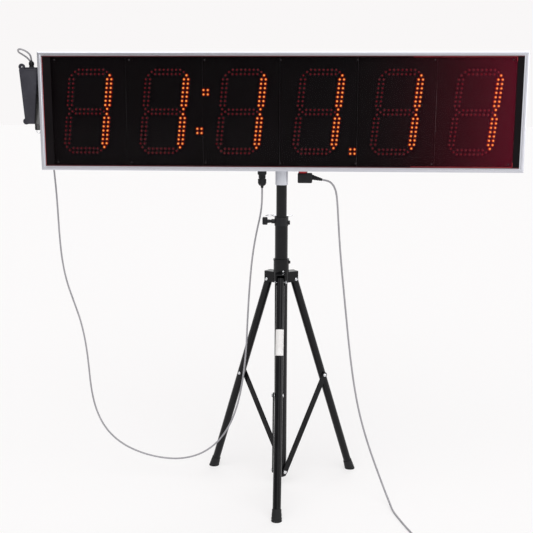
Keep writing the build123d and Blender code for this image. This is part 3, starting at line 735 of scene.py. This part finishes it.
lit_spots = upright_segment(RIGHT_COLUMN, UPPER_ROW) + upright_segment(RIGHT_COLUMN, LOWER_ROW)
dark_spots = upright_segment(0, UPPER_ROW) + upright_segment(0, LOWER_ROW)
for first_row in (0, 9.2, 18.4):
    dark_spots += level_segment(first_row)
lamp_top_z = display_mid.z + DIGIT_ROWS * LAMP_PITCH / 2
digits_width = (DIGIT_COUNT - 1) * DIGIT_SPACING + DIGIT_COLUMNS * LAMP_PITCH
first_column_x = display_mid.x - (digits_width - DIGIT_SLANT * DIGIT_ROWS * LAMP_PITCH) / 2


def digit_places(spots):
    """Where the lamps of every digit stand, each with its lens towards -Y."""
    places = []
    for digit in range(DIGIT_COUNT):
        for column, row in spots:
            x = first_column_x + digit * DIGIT_SPACING + LAMP_PITCH * (column - DIGIT_SLANT * row)
            places.append(along((x, lamp_high.y, lamp_top_z - LAMP_PITCH * row), (0, -1, 0)))
    return places


def square_places(x, z):
    """Four lamps in a square, for a colon or a point."""
    half = LAMP_PITCH / 2
    return [
        along((display_mid.x + x + sx * half, lamp_high.y, z + sz * half), (0, -1, 0))
        for sx in (-1, 1)
        for sz in (-1, 1)
    ]


def round_lamp(name, skirt):
    """A flanged lens with a domed top, on a thin disc of board. Each ring carries how strongly it glows."""
    rings = [
        (0.00010, skirt, 0.0), (0.00025, 0.78 * skirt, 0.20), (0.00040, LAMP_R + 0.0006, 0.40),
        (0.0012, LAMP_R, 0.46), (0.0013, 0.0037, 0.50), (0.0036, 0.0036, 0.60), (0.0054, 0.0031, 0.78),
        (0.0065, 0.0020, 0.93), (0.0070, 0.0008, 1.0),
    ]
    lamp = turned_piece(name, [(height, radius) for height, radius, _ in rings], sides=10)
    glow = lamp.data.attributes.new("glow", "FLOAT", "POINT")
    for vertex in lamp.data.vertices:
        glow.data[vertex.index].value = min(rings, key=lambda ring: abs(ring[0] - vertex.co.z))[2]
    smooth(lamp, 50)
    return lamp


COLON_TOP = (-0.222, 1.2515)
COLON_BOTTOM = (-0.242, 1.137)
POINT = (0.219, 1.0775)
lit_places = digit_places(lit_spots)
for dot in (COLON_TOP, COLON_BOTTOM, POINT):
    lit_places += square_places(*dot)
LIT_SKIRT = 0.0066
DARK_SKIRT = 0.0052
lit_lamps = repeated("lit_lamp_lenses", round_lamp("lamp_model", LIT_SKIRT), lit_places)
paint(lit_lamps, lit_lens, "mast", ["lit_lamps"])
dark_lamps = repeated("unlit_lamp_lenses", round_lamp("lamp_model", DARK_SKIRT), digit_places(dark_spots))
paint(dark_lamps, off_lamp_painted_glint, "mast", ["dark_lamps"])

# ---------------------------------------------------------------- screws and rivets


def cut(piece, cutter):
    """Takes one solid out of another; the cutter goes."""
    modify(piece, "BOOLEAN", operation="DIFFERENCE", object=cutter, solver="EXACT")
    bpy.data.objects.remove(cutter)
    return piece


def cross_head(name, radius, height, shank):
    """A domed screw head with a cross recess and the start of its shank, facing +Z."""
    head = turned_piece(
        name,
        [(-shank, 0.5 * radius), (0.0, 0.55 * radius), (0.0, radius), (0.4 * height, 0.98 * radius),
         (0.78 * height, 0.80 * radius), (height, 0.42 * radius)],
        sides=12,
    )
    wide, narrow = 0.62 * radius, 0.13 * radius
    for half_x, half_y in ((wide, narrow), (narrow, wide)):
        cut(head, block("recess", (-half_x, -half_y, 0.45 * height), (half_x, half_y, 2 * height)))
    return smooth(head, 40)


FILTER_SCREW_IN = 0.0245
FILTER_SCREW_END = 0.012
FILTER_SCREWS = 7
filter_screw_pitch = (filter_high.x - filter_low.x - 2 * FILTER_SCREW_END) / (FILTER_SCREWS - 1)
filter_spots = [
    (filter_low.x + FILTER_SCREW_END + i * filter_screw_pitch, z)
    for i in range(FILTER_SCREWS)
    for z in (display_low.z + FILTER_SCREW_IN, display_high.z - FILTER_SCREW_IN)
]
filter_screws = repeated(
    "filter_screw_heads", cross_head("screw_model", 0.0026, 0.0016, 0.0085),
    [along((x, filter_low.y, z), (0, -1, 0)) for x, z in filter_spots],
)
paint(filter_screws, dark_steel, "mast", ["filter_screws"])
cover_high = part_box("rear_cover")[1]
COVER_SCREW_PITCH = 0.236
COVER_SCREW_IN = 0.0075
cover_screws = repeated(
    "cover_screw_heads", cross_head("screw_model", 0.0032, 0.0022, 0.0015),
    [
        along((display_mid.x + i * COVER_SCREW_PITCH, cover_high.y, z), (0, 1, 0))
        for i in range(-3, 4)
        for z in (display_low.z + COVER_SCREW_IN, display_high.z - COVER_SCREW_IN)
    ],
)
paint(cover_screws, zinc, "mast", ["cover_screws"])
socket_bolts = repeated(
    "socket_bolt_heads", cross_head("screw_model", 0.0042, 0.0026, 0.009),
    [along(at_pole(x, y, display_low.z), (0, 0, -1)) for x in (-0.038, 0.038) for y in (-0.014, 0.014)],
)
paint(socket_bolts, zinc, "mast", ["socket_bolts"])

PIVOT_R = 0.045
PIVOT_Z = 0.677
FOOT_R = 0.267
RIVET_Z = 0.350
BRACE_FOOT = Vector((0.004, -0.0223, 0.046))
BRACE_TOP_OUT = 0.0137
leg_angle = math.atan2(FOOT_R - PIVOT_R, PIVOT_Z)
leg_length = PIVOT_Z / math.cos(leg_angle)
rivet_radius = PIVOT_R + (PIVOT_Z - RIVET_Z) * math.tan(leg_angle)
LEG_AZIMUTHS = {"front": -90.0, "right": 30.0, "left": 150.0}


def leg_frame(azimuth):
    """The pole's frame turned so that +X points along a leg."""
    return Matrix.Translation(POLE) @ Matrix.Rotation(math.radians(azimuth), 4, "Z")


def riveted_pin(name, steps):
    """A pin with domed heads, along +Z."""
    return smooth(turned_piece(name, steps, sides=20), 40)


HEAD = [(0.0, 0.0050), (0.0010, 0.0050), (0.0020, 0.0041), (0.0028, 0.0020)]
HEAD_FACE = 0.0161
pivot_steps = [(-HEAD_FACE - height, radius) for height, radius in reversed(HEAD)]
pivot_steps += [(-HEAD_FACE, 0.003), (HEAD_FACE, 0.003)]
pivot_steps += [(HEAD_FACE + height, radius) for height, radius in HEAD]
pivot_places = [
    leg_frame(azimuth) @ along((PIVOT_R, 0, PIVOT_Z), (0, 1, 0)) for azimuth in LEG_AZIMUTHS.values()
]
hub_pins = repeated("hub_pivot_rivets", riveted_pin("pin_model", pivot_steps), pivot_places)
paint(hub_pins, zinc, "hub", ["hub_pins"])
foot_pin_steps = [
    (0.0, 0.003), (0.0103, 0.003), (0.0103, 0.005), (0.0119, 0.005), (0.0119, 0.003), (0.0168, 0.003),
    (0.0168, 0.0055), (0.0178, 0.0055), (0.0190, 0.0043), (0.0196, 0.0020),
]
foot_pin_places = [
    leg_frame(azimuth) @ along((BRACE_FOOT.x, -0.010, BRACE_FOOT.z), (0, -1, 0))
    for azimuth in LEG_AZIMUTHS.values()
]
brace_pins = repeated("brace_foot_rivets", riveted_pin("pin_model", foot_pin_steps), foot_pin_places)
paint(brace_pins, zinc, "stand", ["brace_pivot_pins"])

brace_length = math.hypot(rivet_radius - BRACE_FOOT.x, RIVET_Z - BRACE_FOOT.z)
brace_angle = math.atan2(rivet_radius - BRACE_FOOT.x, RIVET_Z - BRACE_FOOT.z)
brace_skew = math.atan2(-BRACE_FOOT.y - BRACE_TOP_OUT, brace_length)
leg_rivet_steps = [
    (-0.0133, 0.003), (0.0126, 0.003), (0.0126, 0.005), (0.0137, 0.005), (0.0147, 0.0041), (0.0153, 0.002),
]
brace_cap_steps = [(0.0, 0.0054), (0.0008, 0.0054), (0.0018, 0.0044), (0.0025, 0.0022)]
foot_steps = [
    (0.000, 0.0166), (0.003, 0.0168), (0.005, 0.0160), (0.007, 0.0160), (0.009, 0.0166), (0.012, 0.0163),
    (0.014, 0.0155), (0.016, 0.0155), (0.018, 0.0161), (0.021, 0.0157), (0.023, 0.0149), (0.025, 0.0149),
    (0.027, 0.0154), (0.036, 0.0143), (0.040, 0.0141), (0.044, 0.0142), (0.0455, 0.0138), (0.046, 0.0128),
]
for leg, azimuth in LEG_AZIMUTHS.items():
    facing = leg_frame(azimuth)
    rivet = riveted_pin(f"leg_rivet_head_{leg}", leg_rivet_steps)
    rivet.data.transform(facing @ along((rivet_radius, 0, RIVET_Z), (0, 1, 0)))
    paint(rivet, zinc, f"leg_{leg}", [f"leg_rivet_{leg}"])
    brace_pose = (
        facing
        @ Matrix.Translation(BRACE_FOOT)
        @ Matrix.Rotation(brace_angle, 4, "Y")
        @ Matrix.Rotation(-brace_skew, 4, "X")
    )
    cap = riveted_pin(f"brace_rivet_cap_{leg}", brace_cap_steps)
    cap.data.transform(brace_pose @ along((0, -0.0058, brace_length), (0, -1, 0)))
    paint(cap, zinc, f"brace_{leg}")
    foot = turned_piece(f"ribbed_foot_{leg}", foot_steps, sides=32)
    lean = Matrix.Translation((PIVOT_R, 0, PIVOT_Z)) @ Matrix.Rotation(-leg_angle, 4, "Y")
    foot.data.transform(facing @ lean @ Matrix.Translation((0, 0, -leg_length - 0.012)))
    middle = facing @ Vector((FOOT_R, 0, 0))
    cut(foot, block("floor_cut", middle - Vector((0.06, 0.06, 0.06)), middle + Vector((0.06, 0.06, 0.0))))
    smooth(foot, 30)
    paint(foot, black_rubber, f"leg_{leg}", [f"foot_{leg}"])

front_rivet = riveted_pin(
    "hub_front_rivet", [(0.0, 0.0030), (0.0008, 0.0030), (0.0015, 0.0024), (0.0019, 0.0012)]
)
front_rivet.data.transform(along(at_pole(0.007, -0.0228, 0.7065), (0.29, -0.957, 0)))
paint(front_rivet, zinc, "hub")

# Plain paper label wrapped round the front leg
LABEL_LOW, LABEL_HIGH = 0.464, 0.539
LABEL_R = 0.01262
LABEL_WRAP = 0.30
bpy.ops.mesh.primitive_cylinder_add(vertices=48, radius=LABEL_R, depth=1, end_fill_type="NOTHING")
label = take("plain_label")
label.scale = (1, 1, (LABEL_HIGH - LABEL_LOW) / math.cos(leg_angle))
settle(label)
edit(label)
select_faces(label, lambda middle, normal: normal.x < LABEL_WRAP)
bpy.ops.mesh.delete(type="FACE")
leave()
modify(label, "SOLIDIFY", thickness=0.00012, offset=1.0)
label_radius = PIVOT_R + (PIVOT_Z - (LABEL_LOW + LABEL_HIGH) / 2) * math.tan(leg_angle)
label.data.transform(
    leg_frame(-90)
    @ Matrix.Translation((label_radius, 0, (LABEL_LOW + LABEL_HIGH) / 2))
    @ Matrix.Rotation(-leg_angle, 4, "Y")
)
smooth(label, 40)
paint(label, label_finish, "leg_front")

# ---------------------------------------------------------------- glands and plugs


def cable_gland(name, across, threads, nut, ribs):
    """A hexagon, a threaded neck and a fluted domed nut, along +Z."""
    corner = across / 2 / math.cos(math.pi / 6)
    high = threads[0][0]
    flats = [(0, 0.96 * corner), (0.0008, corner), (high - 0.0008, corner), (high, 0.95 * corner)]
    hexagon = turned_piece(name, flats, 6)
    neck = smooth(turned_piece(name + "_neck", threads, 28), 30)
    dome = turned_piece(name + "_nut", nut, 2 * ribs)
    raise_flutes(dome, nut[1][0] - 0.0001, nut[2][0] + 0.0001, ribs, 0.0007)
    smooth(dome, 30)
    return join(name, [hexagon, neck, dome])


neck_steps = [(0.0130, 0.0110)]
for ring in range(3):
    base = 0.0140 + 0.0034 * ring
    neck_steps += [(base, 0.0112), (base + 0.0017, 0.0112), (base + 0.0020, 0.0104), (base + 0.0030, 0.0104)]
neck_steps += [(0.0245, 0.0096), (0.0265, 0.0096)]
display_gland = cable_gland(
    "ribbed_display_gland", 0.0266, neck_steps,
    [(0.0260, 0.0112), (0.0272, 0.0122), (0.0405, 0.0122), (0.0440, 0.0108), (0.0470, 0.0082),
     (0.0480, 0.0048), (0.0540, 0.0040)],
    14,
)
GLAND_X = -0.060
display_gland.data.transform(along(at_pole(GLAND_X, 0, display_low.z), (0, 0, -1)))
paint(display_gland, black_plastic, "mast", ["display_gland"])
cap_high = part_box("control_box_cap")[1]
box_gland = cable_gland(
    "ribbed_box_gland", 0.0136, [(0.0040, 0.0066), (0.0062, 0.0066)],
    [(0.0060, 0.0068), (0.0066, 0.0073), (0.0150, 0.0073), (0.0172, 0.0064), (0.0185, 0.0048),
     (0.0188, 0.0038), (0.0210, 0.0033)],
    12,
)
BOX_GLAND = (-0.7595, -0.008)
box_gland.data.transform(along(at_pole(*BOX_GLAND, cap_high.z), (0, 0, 1)))
paint(box_gland, black_plastic, "mast", ["control_box_gland"])

INLET_X = 0.065
ring_low, ring_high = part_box("locking_ring")
ring_tall = ring_high.z - ring_low.z
locking_ring = turned_piece(
    "knurled_locking_ring",
    [(0, 0.0123), (0.0006, 0.0130), (ring_tall - 0.0006, 0.0130), (ring_tall, 0.0123)], 40
)
raise_flutes(locking_ring, 0.0006, ring_tall - 0.0006, 20, 0.0006)
locking_ring.data.transform(Matrix.Translation((POLE.x + INLET_X, POLE.y, ring_low.z)))
ring_bore = turned_piece("ring_bore", [(ring_low.z - 0.01, 0.0102), (ring_high.z + 0.01, 0.0102)], 40)
ring_bore.data.transform(Matrix.Translation((POLE.x + INLET_X, POLE.y, 0)))
smooth(cut(locking_ring, ring_bore), 30)
paint(locking_ring, red_plastic, "locking_ring", ["locking_ring"])

elbow_low, elbow_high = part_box("elbow_plug")
elbow = block("elbow_plug_body", elbow_low, elbow_high, 0.0035, 3)
for side in (-1, 1):
    edit(elbow)
    select_faces(elbow, lambda middle, normal: normal.y * side > 0.99)
    bpy.ops.mesh.inset(thickness=0.0035)
    bpy.ops.mesh.inset(thickness=0.0008, depth=-0.0006)
    leave()
grip_x = [elbow_low.x + 0.30 * (elbow_high.x - elbow_low.x) + 0.0042 * i for i in range(3)]
for x in grip_x:
    groove_low = (x, elbow_low.y - 0.001, elbow_low.z + 0.006)
    groove_high = (x + 0.0012, elbow_low.y + 0.0013, elbow_high.z - 0.006)
    cut(elbow, block("groove", groove_low, groove_high))
smooth(elbow, 30)
paint(elbow, black_plastic, "mast", ["elbow_plug"])


def ribbed_relief(name, length, start_r, end_r, ribs):
    """A tapered strain relief along +Z with deep rings, ending in a short plain nose."""
    steps = [(0.0, start_r)]
    for rib in range(ribs):
        low = length * (0.10 + 0.78 * rib / ribs)
        radius = start_r + (end_r - start_r) * low / length
        width = 0.78 * length / ribs
        steps += [(low, radius), (low + 0.55 * width, radius), (low + 0.60 * width, 0.84 * radius),
                  (low + 0.95 * width, 0.84 * radius)]
    steps += [(0.90 * length, end_r * 1.08), (length, end_r)]
    return smooth(turned_piece(name, steps, 20), 30)


relief_start = at_pole(INLET_X + 0.0262, 0, 0.998)
relief_end = at_pole(0.1244, 0, 0.9897)
relief = ribbed_relief("elbow_strain_relief", (relief_end - relief_start).length, 0.0083, 0.0037, 5)
relief.data.transform(along(relief_start, relief_end - relief_start))
paint(relief, black_rubber, "mast", ["power_strain_relief"])

# ---------------------------------------------------------------- knobs and pin

CLAMP_Z = 0.861
stem = turned_piece(
    "clamp_knob_handle",
    [(0.0202, 0.003), (0.0312, 0.003), (0.0312, 0.0045), (0.0330, 0.0050), (0.0400, 0.0056),
     (0.0450, 0.0062)], 24
)
smooth(stem, 35)
stem.data.transform(along(at_pole(0, 0, CLAMP_Z), (-1, 0, 0)))
handle = block("handle", at_pole(-0.059, -0.007, 0.850), at_pole(-0.043, 0.007, 0.8736), 0.0032, 3)
for z in [0.8540 + 0.0045 * i for i in range(4)]:
    for y in (-0.0078, 0.0064):
        cut(handle, block("grip", at_pole(-0.0565, y, z), at_pole(-0.0455, y + 0.0014, z + 0.0022)))
smooth(handle, 30)
clamp_knob = join("clamp_knob_handle", [stem, handle])
paint(clamp_knob, black_plastic, "clamp_knob", ["clamp_knob"])

HUB_SCREW_Z = 0.733
hub_screw = turned_piece(
    "hub_screw_head",
    [(0.0204, 0.003), (0.0259, 0.003), (0.0259, 0.0040), (0.0262, 0.0044), (0.0278, 0.0044),
     (0.0285, 0.0034)], 24
)
raise_flutes(hub_screw, 0.0262, 0.0278, 12, 0.0004)
smooth(hub_screw, 30)
hub_screw.data.transform(along(at_pole(0, 0, HUB_SCREW_Z), (1, 0, 0)))
paint(hub_screw, black_plastic, "hub_screw", ["hub_screw"])

PIN_Z = 0.879
pin = turned_piece(
    "safety_pin_with_ring",
    [(-0.0260, 0.0026), (-0.0254, 0.0039), (-0.0240, 0.0040), (-0.0235, 0.0036), (-0.0235, 0.0030),
     (0.0312, 0.0030), (0.0340, 0.0016)], 20
)
smooth(pin, 35)
pin.data.transform(along(at_pole(0, 0, PIN_Z), (1, 0, 0)))
bpy.ops.mesh.primitive_torus_add(
    major_radius=0.0116, minor_radius=0.0011, major_segments=40, minor_segments=10,
    location=at_pole(-0.037, 0, PIN_Z),
)
ring = smooth(settle(take("pin_ring")), 60)
safety_pin = join("safety_pin_with_ring", [pin, ring])
paint(safety_pin, bright_wire, "safety_pin", ["safety_pin"])

# ---------------------------------------------------------------- red edges round the filter

BEAD = 0.0017
bead_y0 = display_front + 0.0016
bead_y1 = display_front + 0.0028
inner_low = Vector((display_low.x + FRAME_FACE, bead_y0, display_low.z + FRAME_FACE))
inner_high = Vector((display_high.x - FRAME_FACE, bead_y1, display_high.z - FRAME_FACE))
BEAD_OVER_LIP = 0.0013
bead_boxes = []
for edge_z, inward in ((inner_low.z, 1), (inner_high.z, -1)):
    z0, z1 = sorted((edge_z, edge_z + inward * BEAD))
    bead_boxes.append(((inner_low.x, bead_y0, z0), (inner_high.x, bead_y1, z1)))
    z0, z1 = sorted((edge_z - inward * BEAD_OVER_LIP, edge_z + inward * BEAD))
    bead_boxes.append(((inner_low.x, display_front + 0.0004, z0), (inner_high.x, display_front + 0.0011, z1)))
beads = join("red_filter_beads", [block("bead", low, high, 0.0003) for low, high in bead_boxes])
paint(beads, red_bead_finish, "mast")
LEFT_BEAD = 0.0012
left_bead = block(
    "red_left_bead", (inner_low.x, bead_y0, inner_low.z),
    (inner_low.x + LEFT_BEAD, bead_y1, inner_high.z), 0.0003,
)
paint(left_bead, red_edge_finish, "mast")
CORNER_TALL, CORNER_LONG, CORNER_WIDE = 0.014, 0.30, 0.0014
corner_marks = []
for edge_z, inward in ((inner_low.z + BEAD, 1), (inner_high.z - BEAD, -1)):
    for x0, x1, tall in (
        (filter_high.x - CORNER_WIDE, filter_high.x, CORNER_TALL),
        (filter_high.x - CORNER_LONG, filter_high.x - CORNER_WIDE, CORNER_WIDE),
    ):
        z0, z1 = sorted((edge_z, edge_z + inward * tall))
        corner_marks.append(block("corner", (x0, bead_y0, z0), (x1, bead_y1, z1), 0.0003))
corners = join("red_filter_corners", corner_marks)
paint(corners, red_edge_finish, "mast")

# ---------------------------------------------------------------- control box

HOUSING_TOP, HOUSING_BOTTOM = 1.320, 1.156
HOUSING_FRONT, HOUSING_BACK = -0.038, 0.018
HIGH_SIDES = (-0.7905, -0.7335)
LOW_SIDES = (-0.7780, -0.7485)


def tapered(piece, low_sides, high_sides, z_low, z_high):
    """Moves the lower corners of a straight block sideways so that it narrows downwards."""
    for side in (0, 1):
        edit(piece)
        bpy.ops.mesh.select_mode(type="VERT")
        shape = bmesh.from_edit_mesh(piece.data)
        middle = POLE.x + sum(high_sides) / 2
        for vertex in shape.verts:
            vertex.select_set(vertex.co.z < (z_low + z_high) / 2 and (vertex.co.x > middle) == bool(side))
        shape.select_flush_mode()
        bmesh.update_edit_mesh(piece.data)
        bpy.ops.transform.translate(value=(low_sides[side] - high_sides[side], 0, 0))
        leave()
    return piece


housing = block(
    "control_box_shell", at_pole(HIGH_SIDES[0], HOUSING_FRONT, HOUSING_BOTTOM),
    at_pole(HIGH_SIDES[1], HOUSING_BACK, HOUSING_TOP),
)
tapered(housing, LOW_SIDES, HIGH_SIDES, HOUSING_BOTTOM, HOUSING_TOP)
edit(housing)
select_faces(housing, lambda middle, normal: normal.y < -0.99)
bpy.ops.mesh.inset(thickness=0.0055)
bpy.ops.mesh.inset(thickness=0.0025, depth=0.0014)
leave()
round_edges(housing, 0.0035, 3, 50)
for y in (-0.018, -0.002):
    seam_low = at_pole(-0.80, y, HOUSING_BOTTOM - 0.004)
    seam_high = at_pole(-0.787, y + 0.0012, HOUSING_TOP - 0.006)
    cut(housing, block("seam", seam_low, seam_high))
smooth(housing, 30)
lug_steps = [
    (0.0, 0.0090), (0.0006, 0.0096), (0.0060, 0.0096), (0.0068, 0.0088), (0.0068, 0.0052), (0.0056, 0.0046),
]
lugs = []
for x, z in ((-0.781, 1.3255), (-0.7745, 1.164)):
    lug = turned_piece("lug", lug_steps, 28)
    smooth(lug, 35)
    lug.data.transform(along(at_pole(x, HOUSING_FRONT + 0.007, z), (0, -1, 0)))
    bore = turned_piece("lug_bore", [(-0.01, 0.0022), (0.03, 0.0022)], 16)
    bore.data.transform(along(at_pole(x, HOUSING_FRONT + 0.008, z), (0, -1, 0)))
    lugs.append(cut(lug, bore))
control_box = join("control_box_shell", [housing] + lugs)
paint(control_box, box_plastic, "mast", ["control_box"])

# ---------------------------------------------------------------- floor and light

PAPER_WHITE = (0.947, 0.93, 0.93, 1)
FLOOR_GLOW = 0.63
deselect()
bpy.ops.mesh.primitive_plane_add(size=80, location=(0, 0, 0))
floor = take("studio_floor")
floor_finish = finish_material(
    "pale_floor", (0.36, 0.358, 0.358), (0.36, 0.358, 0.358), 0.9, 0.9, cloud=1.0, grain=50.0, depth=0.00001,
    bump=0.02, specular=0.0, Emission_Color=PAPER_WHITE, Emission_Strength=FLOOR_GLOW,
)
floor.data.materials.append(floor_finish)

bpy.context.scene.view_settings.view_transform = "Standard"
world = bpy.data.worlds.new("studio")
bpy.context.scene.world = world
world.use_nodes = True
sky = world.node_tree
backdrop = next(node for node in sky.nodes if node.type == "BACKGROUND")
direction = sky.nodes.new("ShaderNodeTexCoord")


def softbox(previous, towards, inner, outer, strength):
    """Adds a soft round light in one direction to the light so far."""
    facing = sky.nodes.new("ShaderNodeVectorMath")
    facing.operation = "DOT_PRODUCT"
    facing.inputs[1].default_value = Vector(towards).normalized()
    sky.links.new(direction.outputs["Generated"], facing.inputs[0])
    edge = sky.nodes.new("ShaderNodeMapRange")
    edge.interpolation_type = "SMOOTHSTEP"
    edge.inputs["From Min"].default_value = math.cos(math.radians(outer))
    edge.inputs["From Max"].default_value = math.cos(math.radians(inner))
    edge.inputs["To Max"].default_value = strength
    sky.links.new(facing.outputs["Value"], edge.inputs["Value"])
    total = sky.nodes.new("ShaderNodeMath")
    total.operation = "ADD"
    sky.links.new(edge.outputs["Result"], total.inputs[0])
    if isinstance(previous, float):
        total.inputs[1].default_value = previous
    else:
        sky.links.new(previous, total.inputs[1])
    return total.outputs["Value"]


# Where each soft light stands, how many degrees it is full within and fades out at, and its strength
SOFT_LIGHTS = [
    ((0.05, -0.55, 0.83), 16, 46, 2.25),
    ((0.0, -1.0, 0.0), 10, 70, 0.20),
    ((0.42, -0.91, 0.0), 8, 30, 0.85),
    ((0.98, -0.15, 0.05), 8, 24, 3.0),
    ((-0.85, -0.35, 0.45), 8, 26, 0.9),
    ((0.2, 0.8, 0.6), 10, 40, 1.6),
]
ROOM_LIGHT = 0.14
light = ROOM_LIGHT
for towards, full_within, gone_at, strength in SOFT_LIGHTS:
    light = softbox(light, towards, full_within, gone_at, strength)
shown = sky.nodes.new("ShaderNodeLightPath")
choose = sky.nodes.new("ShaderNodeMix")
choose.data_type = "RGBA"
sky.links.new(shown.outputs["Is Camera Ray"], choose.inputs[0])
sky.links.new(light, choose.inputs[6])
choose.inputs[7].default_value = PAPER_WHITE
sky.links.new(choose.outputs[2], backdrop.inputs["Color"])
